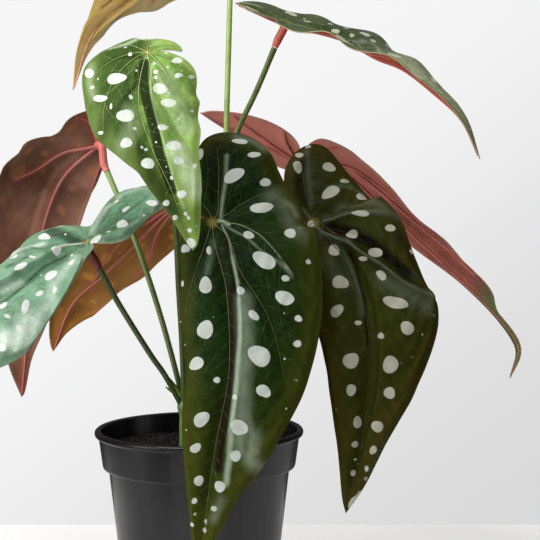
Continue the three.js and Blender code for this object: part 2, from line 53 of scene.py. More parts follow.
# The leaves' flat outlines, as shares of the length along the midrib and of it across
WIDE_EDGE = [
    (-0.015, -0.02), (-0.08, -0.075), (-0.17, -0.105), (-0.255, -0.05), (-0.27, 0.05), (-0.2, 0.17),
    (-0.05, 0.265), (0.18, 0.305), (0.42, 0.265), (0.66, 0.15), (0.86, 0.05), (1, 0),
]
NARROW_EDGE = [
    (1, 0), (0.84, -0.04), (0.62, -0.09), (0.38, -0.13), (0.16, -0.137), (0.03, -0.12),
    (-0.025, -0.07), (-0.015, -0.02),
]
OUTLINE_LOBE = 0.275
OUTLINE_WIDE = 0.305
OUTLINE_NARROW = 0.137
SPINE_STEPS = 40
FLAT_BEND = (0, 0, 0, 0, 0)
USUAL_CURL = (30, 30, 30, 30, 20)
USUAL_WAVE = dict(height=2, count=3.5, narrow_shift=2)
WIDE_DROOP = dict(bend_wide=(0, 10, 12, 12, 10), curl_wide=(30, 40, 40, 40, 20))
NARROW_DROOP = dict(bend_narrow=(0, 12, 12, 12, 10), curl_narrow=(30, 50, 50, 50, 20))
RAY_BEND = 0.18

# Each leaf: midrib points from the end of the lobe to the tip, with the stalk at one of them, the
# way the upper face looks, the side of the wide half, both half widths, and the angles at which
# each half leaves the midrib (bend) and its edge turns down (curl) at five places along it.
LEAVES = {
    "front": dict(
        spine=[(22, -46, 321), (12, -62, 266), (21, -78, 225), (23, -88, 177), (15, -92, 132),
               (9, -90, 91), (4, -84, 48.5)],
        face=[(0, -1, 0.35), (0, -1, 0.25), (0, -1, 0.1), (0, -1, 0)],
        side=1, wide=61, narrow=32,
        wide_edge=[
            (-2, -5), (-7, -12), (-17, -18.5), (-31, -20), (-45, -18.5), (-53.5, -15), (-58.5, -8),
            (-60.5, 1), (-60, 11), (-56, 22), (-51, 29.5), (-43.5, 35), (-35.5, 42), (-28.5, 50),
            (-19.5, 57.5), (-5, 62), (12, 64), (30, 64.5), (46, 63), (60, 60), (72.5, 56), (88.5, 51.5),
            (103, 47.3), (117, 42), (129, 37.8), (143, 33), (154, 28), (164, 22.5), (177.5, 16.2),
            (191, 10.8), (203, 6.5), (215, 3), (225.4, 0),
        ],
        narrow_edge=[
            (225.4, 0), (215, -3.5), (202, -6.8), (185, -10), (172, -13.2), (156, -17.3), (136, -21.8),
            (122, -24.2), (110, -26), (99, -28.6), (80, -30.6), (61, -30.3), (39, -29.6), (24, -26.3),
            (9, -21.5), (0, -17.5), (-3, -11.5), (-2, -5),
        ],
        **WIDE_DROOP, **NARROW_DROOP,
    ),
    "right": dict(
        depth=1.5,
        spine=[(64, -6, 307), (77, -22, 265), (95, -33, 243), (108, -45, 213), (111, -54, 176),
               (106, -60, 129), (96, -60, 82)],
        face=[(0, -1, 0.5), (0, -1, 0.3), (0, -1, 0.1), (0, -1, 0)],
        side=1, wide=50, narrow=36,
        wide_edge=[
            (-2, -4.5), (-6, -9.5), (-14, -12), (-24, -12), (-34, -10.5), (-42, -7.5), (-49, -1.5),
            (-53.5, 6), (-55, 14), (-53, 21), (-47.5, 25.5), (-40, 29), (-31, 33), (-22.5, 38),
            (-11.4, 43), (2, 47.5), (15, 49), (27, 49), (38, 46.5), (50, 43.8), (60, 43), (66, 44.6),
            (71.5, 47), (78, 46.8), (85.5, 45.2), (96, 41), (106, 36), (114, 31.8), (124, 27.7),
            (136, 22), (151.6, 15.5), (164, 11.8), (176, 8.8), (188, 5), (199.9, 0),
        ],
        narrow_edge=[
            (199.9, 0), (190.5, -4.6), (173.6, -10.2), (156.6, -15.4), (141.6, -20), (124, -24.5),
            (109, -27), (93.4, -31), (82, -34), (66, -36.5), (45, -38), (28, -37.5), (14, -33),
            (4, -25), (-1, -16), (-3, -9.5), (-2, -4.5),
        ],
        **WIDE_DROOP, **NARROW_DROOP,
    ),
    "upper_left": dict(
        valley_side=-1,
        spine=[(-19, -60, 380), (-27, -76, 370), (-31, -92, 341), (-23, -102, 313), (-10, -106, 285),
               (2, -102, 250)],
        face=[(0, -0.3, 1), (0, -1, 0.6), (0, -1, 0.2), (0, -1, 0.1)],
        side=-1, wide=41, narrow=35,
        wide_edge=[
            (-1.5, -4), (-6, -12.5), (-12.4, -19), (-18.3, -11.7), (-20.3, -2), (-20, 8), (-17.5, 17.5),
            (-13, 26.5), (-6.5, 34), (2.4, 38.8), (12.2, 41), (22, 41), (31.3, 36.8), (37, 33.5),
            (44, 31.2), (51, 29.2), (58.6, 24.5), (65, 20.5), (71, 16.7), (76.5, 13.6), (84, 12.4),
            (91, 11.4), (100.7, 8.6), (108.7, 6.2), (118, 4.1), (127, 2), (132.8, 0),
        ],
        narrow_edge=[
            (132.8, 0), (130.4, -3.6), (124, -7.4), (115, -11), (107, -14), (98.7, -17.7), (90.7, -21),
            (83.4, -23.6), (73.8, -28.5), (65, -32.5), (56.6, -35.5), (47, -37.5), (32, -37.2),
            (20, -37), (12, -36), (4, -31), (-1, -22), (-2.5, -13), (-1.5, -4),
        ],
        bend_wide=(0, 10, 12, 12, 10), curl_wide=(30, 60, 60, 60, 20), **NARROW_DROOP,
    ),
    "left": dict(
        spine=[(-23, -4, 283), (-70, -40, 253), (-84, -66, 240), (-103, -96, 227), (-123, -122, 212),
               (-144, -140, 189), (-163, -146, 156)],
        face=[(0, -0.6, 0.8), (0, -0.6, 0.8), (0, -0.85, 0.55), (-0.2, -0.9, 0.5), (-0.2, -0.9, 0.3)],
        side=-1, wide=52, narrow=48,
        wide_edge=[
            (-1, -5), (-5, -14), (-15, -19.5), (-30, -15.5), (-45, -10.5), (-58, -9), (-69, 0),
            (-71, 15), (-66, 29), (-58, 35), (-49, 33), (-36, 25), (-22, 16.5), (-13, 12), (-9, 20),
            (-5, 31), (4, 38), (19, 35), (40, 28), (62, 21.5), (100, 19), (140, 12), (181.3, 0),
        ],
        narrow_edge=[
            (181.3, 0), (150, -18), (125, -32), (108, -36.5), (95, -35), (79, -30), (58, -24),
            (36, -16.5), (24, -13), (10, -11.5), (3, -9.5), (-1, -5),
        ],
        bend_wide=(-5, 0, 15, 5, 0), curl_wide=(30, 30, 40, 40, 20),
        bend_narrow=(0, 15, 5, 0, 0), curl_narrow=(30, 10, 20, 40, 20),
    ),
    "back_left": dict(
        depth=0.5,
        spine=[
            (-67, 58, 329), (-72, 34, 318.5), (-98.5, 42, 294.5), (-115, 50, 254.5),
            (-123.5, 50, 202), (-128, 40, 141),
        ],
        face=[(0, 0.9, 0.5), (0, 0.9, 0.5), (-0.3, 0.9, 0.2), (-0.3, 0.9, 0)],
        side=1, wide=47, narrow=36,
        wide_edge=[
            (-1.5, -4), (-8, -9), (-18, -10), (-28, -5), (-34, 4), (-32, 14), (-22, 22), (-12, 24),
            (-4, 26), (1, 29), (5.5, 28.5), (11.5, 26), (18, 28), (24, 35), (29, 38.5), (34.5, 38),
            (38.5, 41), (43, 43.5), (50, 43), (62, 45), (78, 45), (94, 42), (112, 36), (130, 29),
            (148, 21.5), (165, 14.5), (177, 10.5), (188, 5), (196.8, 0),
        ],
        narrow_edge=[
            (196.8, 0), (192, -2.1), (169, -4.9), (150, -11), (137, -14.7), (118, -19),
            (98, -22.5), (80, -24.5), (65, -24.6), (50, -24), (37.5, -23.2), (22, -20.8),
            (10, -15.5), (3, -11.5), (-1, -8), (-1.5, -4),
        ],
    ),
    "back_low": dict(
        depth=0.5,
        spine=[(8, 56, 297), (-12, 70, 283), (-33, 84, 267), (-74, 98, 227), (-101, 102, 202),
               (-115, 98, 167)],
        face=[(-0.2, 0.8, 0.5), (-0.2, 0.8, 0.5), (-0.3, 0.9, 0.3), (-0.3, 0.9, 0.2)],
        side=-1, wide=50, narrow=34,
        wide_edge=[
            (-1.5, -4), (-8, -9), (-17, -11), (-25, -5), (-27, 5), (-22, 15), (-10, 22), (5, 25),
            (25, 26), (45, 25), (60, 24), (75, 23.5), (86, 20.5), (95, 18.5), (104, 19.3),
            (113, 19.5), (125, 18.5), (134, 14), (141, 9.6), (151, 4), (164.6, 0),
        ],
        narrow_edge=[
            (164.6, 0), (161.7, -3), (155, -6.8), (146, -10), (138, -12.4), (120, -18), (100, -24),
            (80, -29), (60, -32), (40, -33), (20, -31), (5, -26), (-1, -15), (-1.5, -4),
        ],
    ),
    "top_left": dict(
        depth=0.5,
        spine=[
            (47, 22, 478), (21, 30, 467), (-16, 36, 449), (-52, 38, 419), (-76, 38, 396),
            (-89, 34, 356.5),
        ],
        face=[(-0.1, 0.5, 0.8), (-0.1, 0.5, 0.8), (-0.3, 0.6, 0.6), (-0.5, 0.6, 0.3)],
        side=-1, wide=46, narrow=30,
        wide_edge=[
            (-1.6, -3.6), (-8.3, -13), (-17.7, -18.5), (-26.6, -9), (-28.2, 7.5), (-20.9, 25.6),
            (-5.2, 39), (15, 44), (35, 42), (50, 35), (63, 26.5), (75, 23.2), (80.5, 20.5),
            (88, 13.8), (97, 9.2), (105, 7.8), (112, 8.8), (119, 8.5), (131, 4.9), (142, 2.4),
            (152, 1.3), (163.9, 0),
        ],
        narrow_edge=[
            (163.9, 0), (156, -2.5), (145.4, -5), (137, -6.3), (128, -7.6), (121, -9.4),
            (115, -11.2), (109, -16.6), (105, -20.4), (96, -25), (80, -28.5), (60, -30),
            (40, -30.5), (25, -30), (10, -27), (2, -20), (-1.5, -12), (-1.6, -3.6),
        ],
    ),
    "top_right": dict(
        depth=0.5,
        spine=[
            (25, -2, 410.5), (58, -10, 397.5), (75.5, -14, 392.5), (97.5, -19, 385), (117, -24, 373),
            (134.5, -28, 365), (153, -31, 350), (171.5, -34, 331.5), (183, -36, 306.5),
        ],
        face=[(0, -0.2, 1), (0, -0.2, 1), (0.2, -0.2, 0.9), (0.4, -0.2, 0.8)],
        side=1, wide=44, narrow=30,
        bend_wide=(9, 9, 6, 9, 13), curl_wide=(10, 10, 5, 5, 5),
        bend_narrow=(16, 2, 8, 15, 6), curl_narrow=(5, 5, 5, 5, 5),
        wave=dict(height=2, count=4.1, narrow_shift=2.3),
    ),
    "back_right": dict(
        depth=0.5,
        spine=[
            (-2, 60, 343), (33, 70, 326.5), (70, 78, 308), (104, 84, 299.5), (136, 89, 271.5),
            (178.5, 93, 232.5), (209, 93, 203.5), (232.5, 88, 172.5), (226, 84, 148.5),
        ],
        stalk_point=2,
        face=[(0.1, 0.15, 1), (0.2, 0.15, 1), (0.4, 0.15, 0.9), (0.9, 0.15, 0.4)],
        side=1, wide=46, narrow=32,
        wide_edge=[
            (-1, -5), (-8, -14), (-20, -20), (-36, -21.5), (-52, -17.5), (-68.5, -10), (-79, -3),
            (-81, 5), (-70, 16), (-50, 28), (-20, 40), (10, 45.5), (45, 46), (80, 43), (110, 37),
            (135, 30), (155, 24), (170, 19), (182, 14), (192, 12.5), (202, 14), (212, 13.5),
            (222, 10), (232, 5.5), (244, 0),
        ],
        narrow_edge=[
            (244, 0), (237, -2), (224, -3), (213, -3), (201, -2.8), (190, -3.5), (183, -8),
            (176, -14), (165, -16.5), (150, -14.2), (137, -15.2), (122, -16.5), (110, -14.6),
            (91, -14), (72, -16.6), (54, -17.5), (38, -19), (27.6, -24), (15, -28), (5, -26),
            (-1, -19), (-2, -12), (-1, -5),
        ],
        bend_wide=(15, 15, 15, 15, 0), curl_wide=(30, 30, 30, 30, 10),
        bend_narrow=(35, 40, 40, 40, 10), curl_narrow=(10, 10, 10, 10, 0),
    ),
}

# Spots that the photograph shows, in its pixels: centre across and down, width, height and tilt
SPOTS = {
    "front": [
        (234, 176.5, 22, 12, 38), (254, 155.5, 13, 6, 8), (240, 142, 15, 6, -5), (265, 183, 11, 8, -10),
        (261, 208.5, 24, 10, 3), (289, 234, 12, 9), (248.5, 236, 11, 8, -5), (264, 261, 23, 16, -22),
        (307, 263, 6, 6), (285, 279, 9, 7, -15), (284, 298.5, 20, 13, -30), (206, 286, 13, 15),
        (241.5, 292, 8, 8), (209, 251, 5, 9), (186, 249.5, 9, 9), (200, 155, 8, 13),
        (183, 284, 4, 6), (206, 330, 20, 14, 70), (197.5, 364, 16, 11, 55), (202, 419, 17, 13, 60),
        (196, 447.5, 11, 9, 40), (199, 480, 9, 11), (194.5, 500, 6, 6), (195, 513, 4, 3),
        (192, 524, 5, 4), (206, 521, 5, 4, -40), (205, 530, 5, 5), (259.5, 356, 22, 20, -45),
        (263.4, 391, 15, 12, -45), (240, 427, 18, 14, -50), (236, 455, 12, 10, -45), (221, 485, 11, 11),
        (215, 507, 7, 6), (230, 499.5, 2.5, 2.5), (254, 316, 12, 8, -50), (296.5, 344, 9, 7, -15),
        (297.5, 319, 9, 6, -25), (217, 380, 7, 6, 30), (235.5, 397, 6, 6), (263, 421, 4, 2),
        (295, 380, 4, 3, -30),
    ],
    "right": [
        (328, 169, 13, 9, -8), (297.5, 168, 8, 13, 15), (299, 156, 8, 6, -20), (308, 147, 6, 4),
        (343.5, 183, 11, 4, -3), (330, 194, 20, 10, 32), (360, 199, 11, 7, -8), (359, 216, 23, 6),
        (389.5, 230, 12, 8), (375, 253.5, 14, 12), (411, 252, 6, 5), (334, 251, 12, 11),
        (363.5, 262, 9, 4), (381, 277, 11, 8, -35), (340.5, 283, 15, 14), (394.6, 304, 24, 12, -15),
        (337.5, 311.6, 11, 14, -30), (311, 224, 8, 6, -20), (406, 329, 15, 12, -30), (381, 337, 7, 6),
        (358, 323, 7, 5), (351, 361, 14, 17, -10), (390, 365, 15, 17, 15), (351, 390, 10, 11),
        (389, 393, 12, 11), (357, 422, 9, 12, -10), (377.5, 426, 11, 12), (354.5, 444, 7, 7),
        (373.5, 449, 7, 9, -10), (355, 459, 4, 3), (353, 473, 7, 6), (367, 467.5, 5, 6),
        (366, 478, 4, 5), (354, 502, 16, 9, 55), (360, 492, 5, 4), (352, 235, 12, 8),
        (432, 316.5, 5, 2.5), (410.5, 357.5, 4, 2),
    ],
    "upper_left": [
        (117, 79, 19, 11, 15), (101, 99, 16, 7, 12), (126, 117, 16, 13), (127, 144, 11, 10),
        (90, 74, 9, 8), (148, 164, 14, 10), (160, 91, 14, 10, 5), (168, 104.5, 14, 8),
        (177, 61, 10, 6), (178, 77, 8, 5), (156, 74, 5, 4), (156, 80, 4, 3),
        (163, 129.5, 10, 6, 10), (174, 147, 14, 10, 15), (179, 162, 9, 8), (182, 194, 10, 8),
        (166, 203, 7, 6), (175, 217.5, 6, 5), (186, 213, 4, 4), (189, 217.5, 4, 4),
        (191, 243, 9, 11), (101, 133, 5, 4), (146, 150, 4, 3), (142, 148, 3, 3),
        (135, 129.5, 4, 3), (172, 178, 4, 4), (190, 230, 5, 5), (93, 88, 5, 4),
    ],
    "left": [
        (45, 240, 12, 7, 5), (60, 226, 8, 4), (13.5, 260, 8, 5, 20), (19, 272, 16, 6, 25),
        (56, 255, 11, 5, 20), (50.5, 277, 19, 9, 50), (71.5, 265, 11, 4, 60), (39, 296, 8, 5, 30),
        (24.5, 309, 17, 8, 75), (19, 331, 11, 6, -65), (54, 292.5, 7, 4, 70), (2, 349, 8, 8),
        (96, 240, 14, 6, 45), (122.5, 225, 11, 8, 20), (126, 210, 18, 3, 40), (152, 205, 12, 6, -15),
        (137, 186.5, 9, 7, 30), (3, 307, 14, 5, 45), (32.5, 319, 3, 2), (33, 334, 3, 3),
        (66, 237.5, 2, 2), (144, 216, 2.5, 2), (41, 275.5, 3, 2), (72, 256, 6, 2.5, 55),
    ],
    "top_right": [
        (278, 9, 4, 2.5), (304, 20, 3, 2.5), (321, 33, 4, 2), (351, 38, 5, 3, -20),
        (364, 36, 12, 3, -20), (372, 43, 7, 3, -20), (432, 82, 9, 4, -60), (447, 92, 7, 5),
        (476, 150, 5, 9), (330, 26, 6, 2.5),
    ],
}

# Main veins that the photograph shows on four of the leaves, in its pixels, from the stalk out
VEINS_SEEN = {
    "front": [
        [(228, 223), (248, 228), (270, 244), (283, 261), (292, 276)],
        [(224, 232), (232, 246), (241, 273), (261, 303), (273, 330), (279, 352), (283, 376)],
        [(218, 210), (219, 174), (217, 147)],
        [(228, 214), (240, 205), (262, 194), (285, 186)],
        [(209, 231), (205, 245), (196, 270), (190, 290), (183, 330)],
        [(210, 214), (200, 200), (196, 190)],
    ],
    "right": [
        [(322, 224), (345, 241), (375, 268), (399, 281), (423, 292)],
        [(325, 234), (345, 268), (352, 300), (357, 330), (362, 345)],
        [(312, 212), (305, 192), (303, 172)],
        [(322, 218), (345, 214), (370, 216), (400, 222)],
        [(309, 228), (322, 262), (322, 300), (326, 330)],
    ],
    "back_left": [
        [(92, 147), (66, 152), (40, 168), (16, 180)],
        [(104, 150), (92, 190), (82, 230), (70, 265)],
        [(96, 140), (88, 122), (70, 116)],
    ],
    "back_low": [
        [(150, 220), (128, 232), (104, 262), (90, 290)],
        [(160, 228), (148, 262), (126, 290), (100, 318)],
    ],
}

# Crests that run down the front and the right leaf from the stalk, in the photograph's pixels
FRONT_CREST = [(221, 222), (240, 226), (256, 234), (270, 247), (282, 262), (292, 276)]
RIGHT_CREST = [(322, 232), (338, 240), (352, 248), (365, 258), (382, 268), (400, 282), (415, 291), (430, 298)]

# Folds and hollows of a blade, in the photograph's pixels: path, height, half width.
# A hollow has a height below nought.
FOLDS_SEEN = {
    "front": [
        (FRONT_CREST, 1.6, 1.8),
        ([(221, 218), (223, 200), (226, 184), (227, 165)], 1.2, 3.0),
    ],
    "right": [
        (RIGHT_CREST, 3.2, 3.5),
        ([(322, 221), (345, 217), (370, 215), (398, 217)], 2.4, 4.0),
        ([(330, 226), (350, 235), (370, 245), (390, 262), (405, 272)], -2.6, 6.0),
    ],
}

# Painted highlights: pale streaks laid into the colour of upper faces where light gleams on them,
# in the picture's pixels: half width, blur, strength and path
PAINTED_HIGHLIGHTS_SEEN = {
    "front": [
        (1.1, 1.6, 0.9, [(233, 258), (236, 272), (239, 290), (240, 306)]),
        (2.5, 2, 0.9, [(240, 300), (241, 330), (239, 360), (237, 385), (234, 415), (231, 450), (227, 482)]),
        (6, 7, 0.45, [(244, 300), (246, 340), (244, 380), (243, 415), (240, 450)]),
        (3, 4, 0.4, [(240, 395), (250, 425), (256, 452)]),
        (0.8, 2.6, 0.8, [(221, 218), (223, 200), (226, 180), (227, 156)]),
        (1.5, 1.5, 1.0, [(219, 221), (224, 222), (229, 225)]),
        (0.25, 0.7, 1.0, FRONT_CREST),
        (0.5, 2.2, 0.6, [(224, 224), (245, 238), (262, 253), (278, 263), (292, 276)]),
        (0.4, 1.1, 1.0, [(222, 225), (229, 240), (233, 258), (237, 275), (240, 284)]),
        (1, 5, 0.4, [(213, 242), (211, 258), (207, 274)]),
        (3, 6, 0.5, [(284, 203), (291, 208), (295, 216)]),
        (8, 10, 0.2, [(272, 196), (286, 215), (298, 235)]),
        (2, 5, 0.35, [(236, 137), (252, 141), (264, 149)]),
        (5, 7, 0.5, [(254, 436), (250, 458), (258, 466)]),
        (3, 5, 0.3, [(222, 498), (214, 518)]),
    ],
    "right": [
        (0.8, 3.5, 0.8, [(324, 221), (345, 217), (370, 215), (396, 217)]),
        (3, 8, 0.45, [(340, 210), (362, 206), (384, 210)]),
        (2, 4, 0.4, [(328, 190), (346, 188), (362, 195)]),
        (0.4, 2, 0.9, RIGHT_CREST),
        (1, 3.5, 0.5, [(322, 234), (336, 244), (346, 256), (352, 270), (358, 290), (362, 315)]),
        (0.5, 3, 0.6, [(303, 210), (312, 220), (320, 230)]),
        (2, 4, 0.3, [(306, 152), (308, 175), (312, 204)]),
        (5, 8, 0.3, [(380, 282), (405, 296), (426, 308)]),
        (5, 9, 0.2, [(326, 258), (334, 272), (346, 284)]),
    ],
    "upper_left": [
        (0.4, 1.2, 0.8, [(152, 64), (151, 85), (154, 108), (160, 130), (166, 150), (172, 172),
                         (178, 190), (185, 208)]),
        (7, 7, 0.8, [(176, 150), (188, 172), (196, 192)]),
        (8, 10, 0.4, [(166, 80), (176, 105), (186, 130)]),
        (5, 7, 0.35, [(130, 112), (132, 130), (122, 148)]),
        (2.5, 3, 0.7, [(112, 50), (132, 43), (158, 38), (184, 38)]),
        (4, 5, 0.4, [(92, 70), (90, 84), (94, 96)]),
        (0.5, 0.8, 0.7, [(154, 62), (166, 76), (178, 98), (190, 122)]),
        (0.3, 0.8, 0.3, [(138, 66), (120, 84), (106, 96)]),
    ],
    "left": [
        (5, 5, 0.9, [(10, 254), (26, 250), (42, 249)]),
        (2, 4, 0.6, [(122, 198), (104, 212), (92, 234)]),
        (9, 8, 0.8, [(4, 342), (18, 338), (30, 322)]),
        (3, 4, 0.6, [(2, 292), (20, 283)]),
        (4, 5, 0.5, [(76, 258), (56, 284), (46, 308), (36, 322)]),
        (4, 5, 0.35, [(142, 190), (118, 198)]),
        (1.2, 1.2, 0.8, [(86, 243), (70, 246), (58, 252)]),
    ],
    "top_right": [
        (2.5, 3, 0.8, [(238, 2), (250, 5), (260, 8)]),
        (2, 3, 0.6, [(352, 42), (376, 50), (398, 60), (420, 76)]),
    ],
}

# Painted shade: dark streaks laid into the colour of upper faces in valleys and hollows, in the same terms
PAINTED_SHADES_SEEN = {
    "front": [
        (4, 1.5, 0.95, [(233, 286), (234, 320), (233, 350), (231, 380), (226, 410), (222, 440), (219, 468)]),
        (2.5, 3, 0.7, [(224, 232), (229, 256), (232, 280)]),
        (4, 5, 0.5, [(216, 146), (214, 170), (212, 200)]),
        (4, 6, 0.5, [(268, 158), (276, 182)]),
        (3, 4, 0.5, [(206, 236), (204, 256)]),
        (8, 10, 0.4, [(222, 400), (212, 450), (206, 490)]),
    ],
    "right": [
        (5, 3, 1.0, [(330, 227), (350, 234), (372, 245), (392, 260), (408, 274)]),
        (6, 8, 0.6, [(396, 236), (408, 256), (416, 276)]),
        (1.5, 1.5, 0.8, [(350, 254), (356, 270), (362, 290), (366, 318), (368, 345)]),
        (6, 8, 0.5, [(300, 180), (302, 200)]),
    ],
    "upper_left": [
        (5, 1.5, 1.0, [(144, 64), (144, 84), (149, 108), (154, 128), (159, 150), (165, 170), (172, 190)]),
        (2, 2, 0.75, [(112, 60), (126, 57), (141, 58)]),
        (1.8, 2, 0.85, [(137, 68), (135, 86), (126, 97), (119, 112)]),
        (4, 5, 0.55, [(112, 112), (104, 128), (102, 138)]),
        (9, 7, 0.75, [(144, 152), (152, 176), (164, 196), (172, 210)]),
        (2, 3, 0.6, [(151, 112), (146, 136), (143, 150)]),
    ],
    "left": [
        (7, 5, 0.85, [(52, 234), (68, 240), (82, 244)]),
        (1.5, 2, 0.85, [(66, 256), (44, 268), (22, 288), (2, 304)]),
        (1.5, 2.5, 0.7, [(28, 261), (6, 272)]),
        (3, 4, 0.6, [(102, 244), (126, 236), (148, 216), (160, 206)]),
        (4, 5, 0.5, [(104, 234), (130, 222)]),
        (3, 4, 0.7, [(0, 356), (8, 353)]),
    ],
}

# Stems: the cane that stands in the soil and the stalks that leave it, each named for its leaf
STEMS = {
    "tall": dict(
        cane=[(4, 8, 88), (4, 8, 112), (6, 6, 170), (11, 4, 240), (18, 2, 309)],
        stalks=dict(
            top_left=[(18, 2, 306), (19, 6, 348), (20, 12, 388), (21, 18, 430), (21, 21, 446)],
            top_right=[(17, 2, 300), (26, -2, 326), (39, -5, 353), (51, -8, 381)],
            right=[(7, 6, 185), (34, 6, 219), (58, 2, 246), (71, -6, 257)],
            front=[(6, 6, 160), (8, -10, 200), (10, -30, 238), (11, -44, 256)],
        ),
    ),
    "left": dict(
        cane=[(-11, 1, 88), (-11, 1, 112), (-10, 0, 146)],
        stalks=dict(
            left=[(-10, 0, 138), (-23, -6, 163), (-32, -10, 177), (-51, -22, 211), (-63, -32, 236)],
            back_left=[(-10, 0, 142), (-24, 8, 192), (-36, 14, 229), (-47, 20, 258), (-57, 25, 282),
                       (-65, 29, 300)],
            upper_left=[(-10, -1, 140), (-11, -12, 188), (-12, -24, 222), (-13, -38, 264),
                        (-17, -52, 305), (-22, -64, 346)],
        ),
    ),
    "back": dict(
        cane=[(4, 28, 88), (4, 28, 112), (3, 30, 180)],
        stalks=dict(
            back_low=[(3, 30, 172), (0, 40, 220), (-5, 52, 258)],
            back_right=[(3, 30, 176), (22, 40, 220), (44, 52, 262), (60, 64, 290)],
        ),
    ),
}
CANE_RADIUS = 3.0
SWELLING_REACH = 4.0
STALK_END_RADIUS = 2.9
SEAT_GAP = 0.3
CAD_THICKNESS = 0.8

# The way from a pixel to its flat place: a grid to start from, how much the nearer side of a
# folded blade is favoured, and the steps of at most so many millimetres that follow
SEEN_GRID = (120, 80, 90)
NEARER_SIDE = 0.02
SEEN_STEPS = 4
LONGEST_STEP = 4

# Grids of a leaf: rays to the wide and to the narrow edge, rings of the upper and the lower face
FINE_GRID = (200, 120, 130, 34)
PLAIN_GRID = (120, 70, 62, 70)
PATTERN_STEP = 3.7
LEAF_THICKNESS = 0.6
EDGE_BULGE = 0.15
RIB_ROOT = 0.45
PLEAT_HEIGHT = 1.9
PLEAT_REACH = 5.5
RIDGE_HEIGHT = 2.9
RIDGE_PLACE = 8.5
RIDGE_FALL = 9.0
VALLEY_FLOOR = 0.5
PLEAT_FADE = 9.0
PLEAT_START = (3, 16)
SWELL_HEIGHT = 0.35
SWELL_START = (2, 8)
RIDGE_START = (4, 24)


def quick_share():
    return 1.0


# Curves and flat outlines
def curve_through(points, steps):
    """A smooth curve through the points, in `steps` places a span."""
    place = np.asarray(points, float)
    place = np.vstack([2 * place[0] - place[1], place, 2 * place[-1] - place[-2]])
    share = (np.arange(steps) / steps)[:, None]
    rows = []
    for before, start, end, after in zip(place, place[1:], place[2:], place[3:]):
        lead = (end - before) / 2
        trail = (after - start) / 2
        square = 3 * (end - start) - 2 * lead - trail
        cube = 2 * (start - end) + lead + trail
        rows.append(start + lead * share + square * share**2 + cube * share**3)
    return np.vstack([*rows, place[-2][None]])


def lengths_along(points):
    return np.concatenate([[0], np.cumsum(np.linalg.norm(np.diff(points, axis=0), axis=1))])


def evenly(points, count):
    """The same path in `count` equal steps."""
    along = lengths_along(points)
    wanted = np.linspace(0, along[-1], count + 1)
    return np.column_stack([np.interp(wanted, along, points[:, i]) for i in range(points.shape[1])])


def unit(rows):
    return rows / np.linalg.norm(rows, axis=-1, keepdims=True)


def smooth_step(low, high, value):
    share = np.clip((value - low) / (high - low), 0, 1)
    return share * share * (3 - 2 * share)


def distance_to_path(places, path):
    """Distance of each flat place to the nearest point of a path."""
    nearest = np.full(len(places), 1e9)
    for start, end in zip(path, path[1:]):
        step = end - start
        share = np.clip((places - start) @ step / max(step @ step, 1e-9), 0, 1)
        gap = np.linalg.norm(places - start - share[:, None] * step, axis=1)
        nearest = np.minimum(nearest, gap)
    return nearest


def pixels_of(points):
    """Where points of the scene stand in the photograph, and how deep."""
    pitch = math.radians(CAMERA_PITCH)
    right, ahead, above = (points - np.array(CAMERA_PLACE)).T
    depth = ahead * math.cos(pitch) - above * math.sin(pitch)
    rise = ahead * math.sin(pitch) + above * math.cos(pitch)
    half = PICTURE_SIDE / 2
    return np.column_stack([half + FOCAL_PIXELS * right / depth, half - FOCAL_PIXELS * rise / depth]), depth


